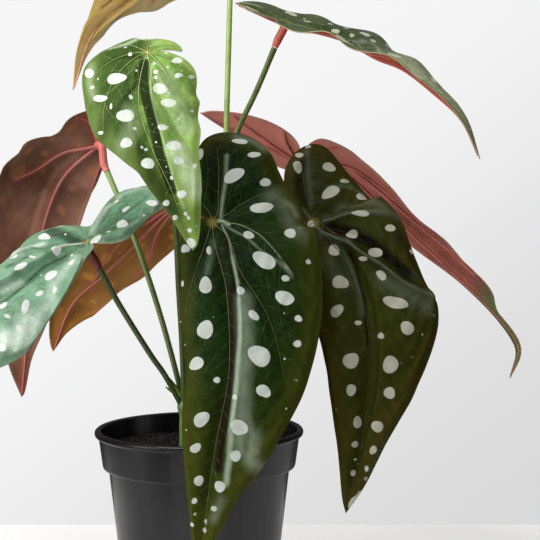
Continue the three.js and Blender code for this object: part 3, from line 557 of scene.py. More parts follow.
class Blade:
    """A leaf blade: a flat lopsided outline carried onto its curved midrib."""

    def __init__(self, name, leaf):
        self.name = name
        self.leaf = leaf
        self.side = leaf["side"]
        spine = curve_through(leaf["spine"], SPINE_STEPS)
        tangent = unit(np.gradient(spine, axis=0))
        faces = np.asarray(leaf["face"], float)
        place = np.linspace(0, len(faces) - 1, len(spine))
        hint = np.column_stack([np.interp(place, np.arange(len(faces)), faces[:, i]) for i in range(3)])
        up = unit(hint - np.sum(hint * tangent, axis=1)[:, None] * tangent)
        along = lengths_along(spine)
        along = along - along[leaf.get("stalk_point", 1) * SPINE_STEPS]
        self.along, self.spine, self.tangent, self.up = along, spine, tangent, up
        self.across = np.cross(up, tangent)
        self.length = along[-1]
        self.lobe = -along[0]
        self.outline()
        self.veins = []
        self.folds = []

    def outline(self):
        leaf = self.leaf
        wide = curve_through(leaf.get("wide_edge") or self.sized(WIDE_EDGE), 12)
        narrow = curve_through(leaf.get("narrow_edge") or self.sized(NARROW_EDGE), 12)
        self.wide_rim = wide
        self.narrow_rim = narrow
        rim = np.vstack([wide, narrow[1:-1]])
        self.rim_angle, self.rim_reach = self.polar(rim)

    def polar(self, rim):
        """Ray angles that always fall, with the reach of each ray."""
        angle = np.unwrap(np.arctan2(rim[:, 1], rim[:, 0]))
        least_turn = 1e-4
        step = least_turn * np.arange(len(angle))
        angle = np.minimum.accumulate(angle + step) - step
        return angle, np.hypot(rim[:, 0], rim[:, 1])

    def sized(self, outline):
        """An outline of shares in this leaf's own lengths."""
        leaf = self.leaf
        back = 0.7 * leaf["wide"] / OUTLINE_WIDE + 0.35 * leaf["narrow"] / OUTLINE_NARROW
        made = []
        for x, y in curve_through(outline, 12):
            along = x / OUTLINE_LOBE * self.lobe if x < 0 else x * self.length
            if y > 0:
                across = y / OUTLINE_WIDE * leaf["wide"]
            else:
                across = y * back if x < 0 else y / OUTLINE_NARROW * leaf["narrow"]
            made.append((along, across))
        return made

    def reach_at(self, flat):
        """How far the outline lies from the stalk in the direction of each flat place."""
        angle = np.arctan2(flat[:, 1], flat[:, 0])
        turn = 2 * math.pi
        high = self.rim_angle[0]
        angle = high - np.mod(high - angle, turn)
        return np.interp(-angle, -self.rim_angle, self.rim_reach)

    def edge_squareness(self, flat):
        """How squarely the ray through each place meets the edge, to turn reach into distance."""
        middle = (self.rim_angle[1:] + self.rim_angle[:-1]) / 2
        turn = np.diff(self.rim_angle) * (self.rim_reach[1:] + self.rim_reach[:-1]) / 2
        out = np.diff(self.rim_reach)
        square = np.abs(turn) / np.hypot(turn, out)
        angle = np.arctan2(flat[:, 1], flat[:, 0])
        angle = self.rim_angle[0] - np.mod(self.rim_angle[0] - angle, 2 * math.pi)
        return np.interp(-angle, -middle, square)

    def surface(self, flat):
        """Points and normals of flat places on the smooth blade, without relief."""
        leaf = self.leaf
        along, across = flat[:, 0], flat[:, 1]
        high = np.clip(np.searchsorted(self.along, along, side="right"), 1, len(self.along) - 1)
        low = high - 1
        span = self.along[high] - self.along[low]
        share = np.clip((along - self.along[low]) / span, 0, 1)[:, None]
        past = np.minimum(along - self.along[0], 0) + np.maximum(along - self.along[-1], 0)

        def blend(rows):
            return rows[low] * (1 - share) + rows[high] * share

        tangent = blend(self.tangent)
        point = blend(self.spine) + tangent * past[:, None]
        up = unit(blend(self.up))
        sideways = unit(blend(self.across))
        stations = [-self.lobe, 0, self.length / 4, self.length / 2, self.length]
        is_wide = across > 0

        def by_half(kind, usual):
            wide, narrow = [leaf.get(kind + half, usual) for half in ("_wide", "_narrow")]
            return np.where(is_wide, np.interp(along, stations, wide), np.interp(along, stations, narrow))

        bend = by_half("bend", FLAT_BEND)
        curl = by_half("curl", USUAL_CURL)
        width = np.where(is_wide, leaf["wide"], leaf["narrow"])
        reach = np.abs(across)
        bend = np.radians(bend)
        turn = np.maximum(np.radians(curl) * reach / width, 1e-6)
        chord = reach * np.sin(turn / 2) / (turn / 2)
        slope = bend - turn
        sign = np.sign(across) * self.side
        normal = up * np.cos(slope)[:, None] - sideways * (sign * np.sin(slope))[:, None]
        margin = leaf.get("wave", USUAL_WAVE)
        shift = np.where(is_wide, 0, margin["narrow_shift"])
        phase = 2 * math.pi * margin["count"] * along / self.length + shift
        wave = margin["height"] * (reach / width) ** 2 * np.sin(phase)
        point = point + sideways * (sign * chord * np.cos(bend - turn / 2))[:, None]
        point = point + up * (chord * np.sin(bend - turn / 2))[:, None] + normal * wave[:, None]
        return point, unit(normal)

    def relief(self, flat):
        """Height of the pleats between the main veins, and the distance to those veins."""
        gap = np.full(len(flat), 1e9)
        for path in self.veins:
            gap = np.minimum(gap, distance_to_path(flat, path))
        reach = np.hypot(flat[:, 0], flat[:, 1])
        inside = self.reach_at(flat) - reach
        fade = smooth_step(0, PLEAT_FADE, inside) * smooth_step(*PLEAT_START, reach)
        height = PLEAT_HEIGHT * (1 - np.exp(-((gap / PLEAT_REACH) ** 2)))
        along, across = flat.T
        swell = np.sin(along * 0.43 + 1.3 * np.sin(across * 0.21)) * np.sin(across * 0.51)
        swell = SWELL_HEIGHT * swell * smooth_step(*SWELL_START, gap)
        depth = self.leaf.get("depth", 1)
        return (height + swell + self.ridge(flat)) * fade * depth, gap

    def ridge(self, flat):
        """A crisp ridge beside the midrib, with the valley between them, and the seen folds."""
        along, across = flat[:, 0], flat[:, 1] * self.leaf.get("valley_side", 1)
        place = RIDGE_PLACE * smooth_step(self.length, self.length * 0.45, along)
        rise = smooth_step(VALLEY_FLOOR, 1, across / np.maximum(place, 0.5))
        fall = np.exp(-np.maximum(across - place, 0) / RIDGE_FALL)
        reach = smooth_step(*RIDGE_START, along) * smooth_step(self.length * 0.97, self.length * 0.75, along)
        height = RIDGE_HEIGHT * rise * fall * reach
        for path, crest, width in self.folds:
            height += crest * np.exp(-((distance_to_path(flat, path) / width) ** 2))
        return height

    def grid(self, wide_rays, narrow_rays, rings):
        """Flat places from the stalk out: one in the middle and then ring by ring."""
        wide = evenly(self.wide_rim, wide_rays)
        narrow = evenly(self.narrow_rim, narrow_rays)
        angle, reach = self.polar(np.vstack([wide, narrow[1:-1]]))
        places = [np.zeros((1, 2))]
        for ring in range(1, rings + 1):
            share = ring / rings
            bent = angle + RAY_BEND * np.sin(angle) * (1 - share)
            places.append(np.column_stack([np.cos(bent), np.sin(bent)]) * (reach * share)[:, None])
        return np.vstack(places), len(angle)

    def seen_line(self, pixels):
        """The flat line that shows along these pixels of the photograph."""
        return evenly(curve_through(self.seen_at(pixels), 8), 24)

    def streaks(self, table, flat):
        """Share of each flat place in the streaks that a table holds for this leaf."""
        share = np.zeros(len(flat))
        for half, blur, strength, path in table.get(self.name, []):
            gap = distance_to_path(flat, self.seen_line(path))
            inside = smooth_step((half + blur) * PIXEL, (half - blur) * PIXEL, gap)
            share = np.maximum(share, strength * inside)
        return share

    def seen_at(self, pixels):
        """The flat places that show at these pixels of the photograph, by the nearest of a fine grid."""
        flat, _ = self.grid(*SEEN_GRID)
        point, normal = self.surface(flat)
        place, depth = pixels_of(point)
        found = []
        for pixel in np.atleast_2d(pixels):
            gap = np.linalg.norm(place - pixel, axis=1)
            best = np.argmin(gap + NEARER_SIDE * (depth - depth.min()))
            start = flat[best].copy()
            for _ in range(SEEN_STEPS):
                here, jacobian = self.pixel_slope(start)
                step = np.linalg.lstsq(jacobian, pixel - here, rcond=0.05)[0]
                start = start + np.clip(step, -LONGEST_STEP, LONGEST_STEP)
            landed, _ = self.pixel_slope(start)
            if np.linalg.norm(landed - pixel) > np.linalg.norm(place[best] - pixel):
                start = flat[best]
            found.append(start)
        return np.array(found)

    def pixel_slope(self, flat):
        """Pixel of a flat place, and how the pixel moves with it."""
        step = 0.5
        moved = np.array([flat, flat + (step, 0), flat + (0, step)])
        place, _ = pixels_of(self.surface(moved)[0])
        return place[0], np.column_stack([place[1] - place[0], place[2] - place[0]]) / step


# Veins, in flat places
LATERAL_ENDS = dict(wide=(0.1, 0.2, 0.31, 0.45, 0.6), narrow=(0.22, 0.45, 0.68))
VEIN_STOP = 0.93
TWIG_GAP = 11.0
TWIG_FIRST = 9.0
TWIG_LAST = 6
TWIG_STEP = 1.8
TWIG_STEPS = 26
TWIG_LEAN = 52
TWIG_TURN = 1.6
TWIG_CLEAR = 2.0


def lateral(end):
    """A side vein that leaves the stalk across the blade and turns towards the tip."""
    end = np.asarray(end)
    middle = end * (0.32, 0.72) if end[0] > 0 else end * (0.75, 0.42)
    share = np.linspace(0, 1, 16)[:, None]
    return 2 * share * (1 - share) * middle + share**2 * end


def within(blade, path):
    """The part of a path from the stalk that stays inside the edge."""
    outside = np.hypot(*path.T) > VEIN_STOP * blade.reach_at(path)
    outside[:4] = False
    return path[:np.argmax(outside)] if outside.any() else path


def main_veins(blade):
    """The midrib and the side veins that spread from the stalk."""
    midrib = np.column_stack([np.linspace(0, blade.length * 0.985, 60), np.zeros(60)])
    seen = VEINS_SEEN.get(blade.name)
    if seen:
        paths = [curve_through(np.vstack([[(0, 0)], blade.seen_at(path)]), 8) for path in seen]
    else:
        wide = [blade.wide_rim[int(share * (len(blade.wide_rim) - 1))] for share in LATERAL_ENDS["wide"]]
        narrow = blade.narrow_rim[::-1]
        narrow = [narrow[int(share * (len(narrow) - 1))] for share in LATERAL_ENDS["narrow"]]
        paths = [lateral(end * VEIN_STOP) for end in wide + narrow]
    return [midrib] + [within(blade, evenly(path, 24)) for path in paths]


def twigs(blade, random):
    """Fine side veins that leave the main ones by turns to each side and curve to the tip."""
    made = []
    for own, path in enumerate(blade.veins):
        others = np.vstack([evenly(vein, 40) for i, vein in enumerate(blade.veins) if i != own])
        total = lengths_along(path)[-1]
        even = evenly(path, max(2, int(total / 2)))
        heading = unit(np.gradient(even, axis=0))
        hand = 1
        distance = TWIG_FIRST
        while distance < total - TWIG_LAST:
            i = min(int(distance / total * (len(even) - 1)), len(even) - 1)
            for side in (hand, -hand) if own == 0 else (hand,):
                grown = grow_twig(blade, even[i], heading[i], side, others, random)
                if len(grown) > 4:
                    made.append(grown)
            hand = -hand
            distance += TWIG_GAP * random.uniform(0.7, 1.1) * (1 if own == 0 else 0.7)
    return made


def grow_twig(blade, start, heading, side, others, random):
    angle = math.atan2(heading[1], heading[0]) + side * math.radians(TWIG_LEAN + random.uniform(-6, 6))
    bend = math.radians(TWIG_TURN) * side
    place = np.array(start, float)
    path = [place]
    for i in range(TWIG_STEPS):
        place = place + TWIG_STEP * np.array([math.cos(angle), math.sin(angle)])
        angle -= bend * (1 + random.uniform(-1.5, 1.5))
        if np.hypot(*place) > VEIN_STOP * blade.reach_at(place[None])[0]:
            break
        if i > 2 and np.min(np.hypot(*(others - place).T)) < TWIG_CLEAR:
            break
        path.append(place)
    return np.array(path)


# Spots, as ellipses in flat places
SMALLEST_SPOT = 0.6
LONGEST_SPOT = 2.4
SPOT_WOBBLE = 0.08
SPOT_SIZES = [0.18, 0.25, 0.45, 0.75, 1.0]
SPOT_GAP = 4.5
SPOT_EDGE_GAP = 1.5
SPOT_STALK_GAP = 6
SPOT_TRIES = 6000
FAR_FROM_SPOTS = 20.0


def turn_by(angle):
    return np.array([[math.cos(angle), -math.sin(angle)], [math.sin(angle), math.cos(angle)]])


def seen_spots(blade):
    """Middles and shapes of the spots that the photograph shows on this blade."""
    made = []
    for x, y, width, height, *tilt in SPOTS.get(blade.name, ()):
        flat = blade.seen_at([(x, y)])[0]
        _, slope = blade.pixel_slope(flat)
        turned = turn_by(math.radians(-sum(tilt)))
        shape = np.linalg.pinv(slope, rcond=0.15) @ turned @ np.diag([width / 2, height / 2])
        left, size, right = np.linalg.svd(shape)
        size = np.clip(size, SMALLEST_SPOT, None)
        size[0] = min(size[0], size[1] * LONGEST_SPOT)
        made.append((flat, left @ np.diag(size) @ right))
    return made


def random_spots(blade, random, made, count, biggest):
    """Spots strewn over the blade, clear of each other, the midrib and the edge."""
    middles = [flat for flat, _ in made]
    sizes = [abs(np.linalg.det(shape)) ** 0.5 for _, shape in made]
    tries = 0
    while len(middles) < count and tries < SPOT_TRIES:
        tries += 1
        along = random.uniform(-blade.lobe, blade.length)
        flat = np.array([along, random.uniform(-1, 1) * blade.leaf["wide"]])
        size = biggest * random.choice(SPOT_SIZES) * random.uniform(0.85, 1.1)
        inside = blade.reach_at(flat[None])[0] - np.hypot(*flat)
        on_midrib = flat[0] > 0 and abs(flat[1]) < size + SPOT_EDGE_GAP
        if inside < size + SPOT_EDGE_GAP or on_midrib or np.hypot(*flat) < size + SPOT_STALK_GAP:
            continue
        if any(np.hypot(*(flat - other)) < size + its + SPOT_GAP for other, its in zip(middles, sizes)):
            continue
        turned = turn_by(random.uniform(0, math.pi))
        long = random.uniform(1.05, 1.35)
        made.append((flat, turned @ np.diag([size * long, size / long])))
        middles.append(flat)
        sizes.append(size)
    return made


def spot_distance(spots, flat):
    """Signed distance to the nearest spot's edge, less than nothing inside it."""
    nearest = np.full(len(flat), FAR_FROM_SPOTS)
    for i, (middle, shape) in enumerate(spots):
        size = abs(np.linalg.det(shape)) ** 0.5
        near = (flat - middle) @ np.linalg.inv(shape).T
        turn = np.arctan2(near[:, 1], near[:, 0])
        wobble = 1 + SPOT_WOBBLE * np.sin(2 * turn + i) + 0.6 * SPOT_WOBBLE * np.sin(3 * turn + 2.3 * i)
        nearest = np.minimum(nearest, (np.hypot(*near.T) - wobble) * size)
    return nearest


# Meshes and pieces
def make_mesh(name, points, faces, materials, slots=None):
    mesh = bpy.data.meshes.new(name)
    mesh.from_pydata((np.asarray(points) * METRE).tolist(), [], faces)
    for material in materials:
        mesh.materials.append(material)
    if slots is not None:
        mesh.polygons.foreach_set("material_index", slots)
    mesh.polygons.foreach_set("use_smooth", [True] * len(mesh.polygons))
    mesh.update()
    return mesh


def set_values(mesh, name, values):
    mesh.attributes.new(name, "FLOAT", "POINT").data.foreach_set("value", np.asarray(values, np.float32))


def set_places(mesh, name, rows):
    flat = np.ascontiguousarray(rows, np.float32).ravel()
    mesh.attributes.new(name, "FLOAT_VECTOR", "POINT").data.foreach_set("vector", flat)


def linked(name, data):
    """A new object in the scene."""
    made = bpy.data.objects.new(name, data)
    bpy.context.scene.collection.objects.link(made)
    return made


def place_piece(name, mesh, nodes=()):
    """A piece of the plant, in place of these plain nodes."""
    piece = linked(name, mesh)
    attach(piece, "root")
    if nodes:
        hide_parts(*nodes)


def plug(tree, node, inputs):
    """Set a node's inputs, where each is a value or another node's socket."""
    for key, value in inputs.items():
        socket = node.inputs[key]
        if isinstance(value, bpy.types.NodeSocket):
            tree.links.new(value, socket)
        else:
            socket.default_value = value


def add_node(tree, kind, inputs, **settings):
    """A node with its settings and inputs."""
    made = tree.nodes.new(kind)
    for key, value in settings.items():
        setattr(made, key, value)
    plug(tree, made, inputs)
    return made


def first_of(tree, kind, inputs, **settings):
    """The first output of a new node."""
    return add_node(tree, kind, inputs, **settings).outputs[0]


def new_node_group(name, inputs):
    """A geometry tree with its input sockets and its output, where inputs are named kinds."""
    tree = bpy.data.node_groups.new(name, "GeometryNodeTree")
    for title, kind in {"Geometry": "Geometry", **inputs}.items():
        tree.interface.new_socket(title, in_out="INPUT", socket_type="NodeSocket" + kind)
    tree.interface.new_socket("Geometry", in_out="OUTPUT", socket_type="NodeSocketGeometry")
    given = tree.nodes.new("NodeGroupInput").outputs
    return tree, given, tree.nodes.new("NodeGroupOutput").inputs[0]


# Colours and finishes
def paint(code):
    """Linear colour of an sRGB code."""
    parts = [(code >> shift & 255) / 255 for shift in (16, 8, 0)]
    linear = [part / 12.92 if part <= 0.04045 else ((part + 0.055) / 1.055) ** 2.4 for part in parts]
    return (*linear, 1)


def value_of(tree, name, kind="Fac"):
    return add_node(tree, "ShaderNodeAttribute", {}, attribute_name=name).outputs[kind]


def place_of(tree):
    return add_node(tree, "ShaderNodeTexCoord", {}).outputs["Object"]


def sums(tree, operation, first, second):
    return first_of(tree, "ShaderNodeMath", {0: first, 1: second}, operation=operation)


def sums_of_vectors(tree, operation, first, second):
    return first_of(tree, "ShaderNodeVectorMath", {0: first, 1: second}, operation=operation)


def noise(tree, vector, scale, detail=3.0, roughness=0.55):
    inputs = {"Vector": vector, "Scale": scale, "Detail": detail, "Roughness": roughness}
    return add_node(tree, "ShaderNodeTexNoise", inputs).outputs["Fac"]


def between(tree, value, low, high, out_low=0.0, out_high=1.0):
    inputs = {0: value, 1: low, 2: high, 3: out_low, 4: out_high}
    return first_of(tree, "ShaderNodeMapRange", inputs, interpolation_type="SMOOTHSTEP")


def mixed(tree, share, first, second):
    return add_node(tree, "ShaderNodeMix", {0: share, 6: first, 7: second}, data_type="RGBA").outputs[2]


def two_tones(tree, share, code, other):
    return mixed(tree, share, paint(code), paint(other))


def layered(tree, colour, layers):
    """A colour with others laid over it, each with its share."""
    for share, code in layers:
        colour = mixed(tree, share, colour, paint(code))
    return colour


def bumped(tree, height, distance, strength, normal=None):
    inputs = {"Height": height, "Distance": distance, "Strength": strength}
    if normal is not None:
        inputs["Normal"] = normal
    return add_node(tree, "ShaderNodeBump", inputs).outputs["Normal"]


def new_finish(name):
    material = bpy.data.materials.new(name)
    material.use_nodes = True
    tree = material.node_tree
    return material, tree, tree.nodes["Principled BSDF"]


# Reach of the painted shade beside the upper veins, of the ribs', edge's and star's colour, cells of the fine
# network and its share
VEIN_SHADE_REACH = 2.2
RIB_HALO = 3.5
EDGE_HALO = 4.0
MARGIN_SPAN = (-6.0, 9.0)
MARGIN_RAGGED = 16.0
STAR_SPAN = (1.0, 5.0)
STAR_TONE = 0x7A6A2C
NETWORK_CELL_ABOVE = 4.2
NETWORK_CELL_BELOW = 6.0
NETWORK_ABOVE = 0.06
NETWORK_BELOW = 0.08
NETWORK_WARP = (5, 5, 5)
BIGGEST_SPECK = 0.8

# Depths of relief in a finish, in metres
LEAF_GRAIN = 0.00006
QUILT_ABOVE = 0.00035
QUILT_BELOW = 0.0004
SKIN_GRAIN = 0.0001
STALK_STREAKS = 0.0002
POT_WAVES = 0.0012
POT_GRAIN = 0.00008
SOIL_LUMPS = 0.002
SOIL_GRAIN = 0.0006

# Colours of stems, pot and soil
STALK_DARK = 0x24330F
STALK_PALE = 0xA8BF70
PLASTIC = 0x050508
PLASTIC_DUSTY = 0x101014
SOIL_DARK = 0x080605
SOIL_BROWN = 0x1E1712
SOIL_PALE = 0x3A2D22


def fine_mesh_of_veins(tree, flat, cell):
    """Share of a thin line network between cells about this many millimetres wide."""
    warp = add_node(tree, "ShaderNodeTexNoise", {"Vector": flat, "Scale": 0.16, "Detail": 2.0})
    bent = sums_of_vectors(tree, "MULTIPLY", warp.outputs["Color"], NETWORK_WARP)
    moved = sums_of_vectors(tree, "ADD", flat, bent)
    cells = add_node(tree, "ShaderNodeTexVoronoi", {"Vector": moved, "Scale": 1 / cell},
                     feature="DISTANCE_TO_EDGE")
    return between(tree, cells.outputs["Distance"], 0.0, 0.075, 1.0, 0.0)


def specks(tree, flat, gap, share):
    """Share of small round flecks, in some of the cells of a loose grid."""
    cells = add_node(tree, "ShaderNodeTexVoronoi", {"Vector": flat, "Scale": 1 / gap, "Randomness": 0.9})
    parts = add_node(tree, "ShaderNodeSeparateColor", {0: cells.outputs["Color"]})
    size = between(tree, parts.outputs[0], 1 - share, 1.0, 0.0, BIGGEST_SPECK / gap)
    inside = sums(tree, "SUBTRACT", size, cells.outputs["Distance"])
    return between(tree, inside, 0.0, 0.03)


def blade_greens(tree, flat, look, mottle, network):
    """Greens of the upper face: patches, veins with painted shade beside them, the wide half, the tip and the
    margin.
    """
    patches = noise(tree, flat, look["patch_scale"])
    colour = two_tones(tree, between(tree, patches, 0.35, 0.68), look["deep"], look["green"])
    colour = layered(tree, colour, [
        (between(tree, mottle, 0.35, 0.75, 0.0, 0.5), look["light"]),
        (sums(tree, "MULTIPLY", network, NETWORK_ABOVE), look["vein"]),
        # Painted shade in the sunken channels beside the veins
        (between(tree, value_of(tree, "vein"), 0.0, VEIN_SHADE_REACH, 0.55, 0.0), look["valley"]),
    ])
    along, across, _ = add_node(tree, "ShaderNodeSeparateXYZ", {0: flat}).outputs
    # A tone over the wide half: on the front leaf its own olive, on the upper left leaf painted shade over
    # that half
    if "wide" in look:
        towards_edge = between(tree, across, *look["wide_span"], 0.0, look["wide_share"])
        colour = layered(tree, colour, [(towards_edge, look["wide"])])
    towards_tip = between(tree, along, *look["tip_span"], 0.0, look["tip_share"])
    towards_tip = sums(tree, "MULTIPLY", towards_tip, between(tree, mottle, 0.3, 0.6, 0.55, 1.0))
    ragged = sums(tree, "ADD", value_of(tree, "edge"), sums(tree, "MULTIPLY", patches, -MARGIN_RAGGED))
    margin = between(tree, ragged, *MARGIN_SPAN, look["margin_share"], 0.0)
    return layered(tree, colour, [(towards_tip, look["tip"]), (margin, look["margin"])])


def upper_face(name, look):
    """Glossy green blade with silver spots, pale veins, painted shade in its valleys and hollows, and painted
    highlights along its crests.
    """
    material, tree, shader = new_finish(name)
    flat = value_of(tree, "flat", "Vector")
    mottle = noise(tree, flat, 0.35, 4.0, 0.65)
    grain = noise(tree, flat, 2.6, 3.0, 0.6)
    network = fine_mesh_of_veins(tree, flat, NETWORK_CELL_ABOVE)
    # Painted highlight: a pale tone laid into the colour along crests and veins, where the face is also
    # glossier
    gleam = value_of(tree, "gleam")
    highlight_paint = sums(tree, "MULTIPLY", gleam, between(tree, mottle, 0.3, 0.65, 0.8, 1.0))
    # Painted shade goes on first, then the painted highlights, then the star's tone at the stalk
    colour = layered(tree, blade_greens(tree, flat, look, mottle, network), [
        (value_of(tree, "shade"), look["valley"]),
        (sums(tree, "MULTIPLY", highlight_paint, look["highlight_paint_share"]), look["highlight_paint"]),
        (between(tree, value_of(tree, "reach"), *STAR_SPAN, 0.9, 0.0), STAR_TONE),
    ])
    dots = between(tree, value_of(tree, "spot"), -0.25, 0.2, 1.0, 0.0)
    flecks = sums(tree, "MAXIMUM", dots, specks(tree, flat, look["speck_gap"], look["speck_share"]))
    silver = two_tones(tree, between(tree, grain, 0.3, 0.75), look["spot"], look["spot_light"])
    rough = between(tree, gleam, 0.0, 0.5, look["dull"], look["gloss"])
    rough = sums(tree, "ADD", rough, between(tree, grain, 0.25, 0.8, -0.04, 0.08))
    rough = sums(tree, "ADD", rough, sums(tree, "MULTIPLY", flecks, 0.12))
    height = sums(tree, "SUBTRACT", mottle, sums(tree, "MULTIPLY", network, 0.25))
    height = sums(tree, "ADD", height, sums(tree, "MULTIPLY", flecks, 0.25))
    quilt = bumped(tree, height, QUILT_ABOVE, 0.75)
    plug(tree, shader, {
        "Base Color": mixed(tree, flecks, colour, silver),
        "Roughness": rough,
        "Normal": bumped(tree, grain, LEAF_GRAIN, 0.8, quilt),
        "Coat Weight": look["coat"],
        "Coat Roughness": 0.22,
        "Specular IOR Level": look["specular"],
    })
    return material


def under_face(name, look):
    """Red-brown underside with an orange ghost of each spot, painted as light shining through the leaf there.
    """
    material, tree, shader = new_finish(name)
    flat = value_of(tree, "flat", "Vector")
    along = first_of(tree, "ShaderNodeSeparateXYZ", {0: flat})
    patches = noise(tree, flat, 0.03)
    mottle = noise(tree, flat, 0.3, 4.0, 0.6)
    grain = noise(tree, flat, 2.2, 3.0, 0.6)
    network = fine_mesh_of_veins(tree, flat, NETWORK_CELL_BELOW)
    layers = [
        (sums(tree, "MULTIPLY", network, NETWORK_BELOW), look["rib"]),
        (between(tree, value_of(tree, "vein"), 0.0, RIB_HALO, 0.6, 0.0), look["rib"]),
        # Painted light: an orange glow over each spot, as if light shone through it
        (between(tree, value_of(tree, "spot"), -1.2, 1.0, look["ghost_share"], 0.0), look["ghost"]),
        (between(tree, value_of(tree, "edge"), 0.0, EDGE_HALO, 0.5, 0.0), look["rim_under"]),
    ]
    if "under_lobe" in look:
        layers.insert(0, (between(tree, along, *look["lobe_span"], 0.8, 0.0), look["under_lobe"]))
    if "under_tail" in look:
        layers.append((between(tree, along, *look["tail_span"]), look["under_tail"]))
    colour = two_tones(tree, between(tree, patches, 0.3, 0.7), look["under_deep"], look["under"])
    height = sums(tree, "ADD", mottle, sums(tree, "MULTIPLY", network, 0.3))
    quilt = bumped(tree, height, QUILT_BELOW, 0.6)
    plug(tree, shader, {
        "Base Color": layered(tree, colour, layers),
        "Roughness": between(tree, grain, 0.25, 0.8, 0.4, 0.58),
        "Normal": bumped(tree, grain, LEAF_GRAIN, 0.8, quilt),
        "Specular IOR Level": 0.2,
        "Subsurface Weight": look["lit_through"],
        "Subsurface Radius": (1.0, 0.7, 0.4),
        "Subsurface Scale": 0.006,
    })
    return material


def plain_skin(name, code, other, gloss):
    """A living skin in two close tones, with fine grain."""
    material, tree, shader = new_finish(name)
    place = place_of(tree)
    tone = between(tree, noise(tree, place, 80.0), 0.3, 0.7)
    grain = noise(tree, place, 1200.0)
    plug(tree, shader, {
        "Base Color": two_tones(tree, tone, code, other),
        "Roughness": between(tree, grain, 0.2, 0.8, gloss - 0.06, gloss + 0.1),
        "Normal": bumped(tree, grain, SKIN_GRAIN, 0.7),
    })
    return material


def stem_skin(name, foot, top, gloss=0.36):
    """A stem that changes colour along its length, with fine streaks along it."""
    material, tree, shader = new_finish(name)
    place = place_of(tree)
    streak = noise(tree, sums_of_vectors(tree, "MULTIPLY", place, (1, 1, 0.12)), 900.0)
    blotch = noise(tree, place, 90.0)
    colour = two_tones(tree, value_of(tree, "share"), foot, top)
    darker = mixed(tree, 0.5, colour, paint(STALK_DARK))
    colour = mixed(tree, between(tree, blotch, 0.42, 0.75, 0.0, 0.55), colour, darker)
    plug(tree, shader, {
        "Base Color": layered(tree, colour, [(between(tree, streak, 0.55, 0.8, 0.0, 0.35), STALK_PALE)]),
        "Roughness": between(tree, blotch, 0.2, 0.8, gloss - 0.08, gloss + 0.1),
        "Normal": bumped(tree, streak, STALK_STREAKS, 0.7),
    })
    return material


def pot_finish():
    """Near-black moulded plastic with a satin sheen and faint streaks down the wall."""
    material, tree, shader = new_finish("pot_plastic_satin")
    place = place_of(tree)
    x, y, z = add_node(tree, "ShaderNodeSeparateXYZ", {0: place}).outputs
    round_place = first_of(tree, "ShaderNodeCombineXYZ", {
        0: sums(tree, "MULTIPLY", sums(tree, "ARCTAN2", y, x), 9.0), 1: sums(tree, "MULTIPLY", z, 9.0),
    })
    streak = noise(tree, round_place, 1.0, 3.0, 0.6)
    grain = noise(tree, place, 1500.0, 3.0, 0.6)
    dust = noise(tree, place, 60.0, 4.0, 0.7)
    dusty = between(tree, dust, 0.4, 0.8, 0.0, 0.06)
    wavy = bumped(tree, streak, POT_WAVES, 0.25)
    plug(tree, shader, {
        "Base Color": two_tones(tree, between(tree, dust, 0.45, 0.8, 0.0, 0.6), PLASTIC, PLASTIC_DUSTY),
        "Roughness": sums(tree, "ADD", between(tree, streak, 0.3, 0.7, 0.27, 0.33), dusty),
        "Normal": bumped(tree, grain, POT_GRAIN, 0.6, wavy),
        "Specular IOR Level": 0.36,
    })
    return material


def soil_finish():
    """Dark crumbly compost."""
    material, tree, shader = new_finish("soil_crumbly")
    place = place_of(tree)
    lumps = noise(tree, place, 160.0, 5.0, 0.7)
    grain = noise(tree, place, 900.0, 4.0, 0.7)
    colour = two_tones(tree, between(tree, lumps, 0.3, 0.75), SOIL_DARK, SOIL_BROWN)
    coarse = bumped(tree, lumps, SOIL_LUMPS, 0.9)
    plug(tree, shader, {
        "Base Color": layered(tree, colour, [(between(tree, grain, 0.62, 0.8, 0.0, 0.7), SOIL_PALE)]),
        "Roughness": 0.93,
        "Normal": bumped(tree, grain, SOIL_GRAIN, 0.9, coarse),
    })
    return material
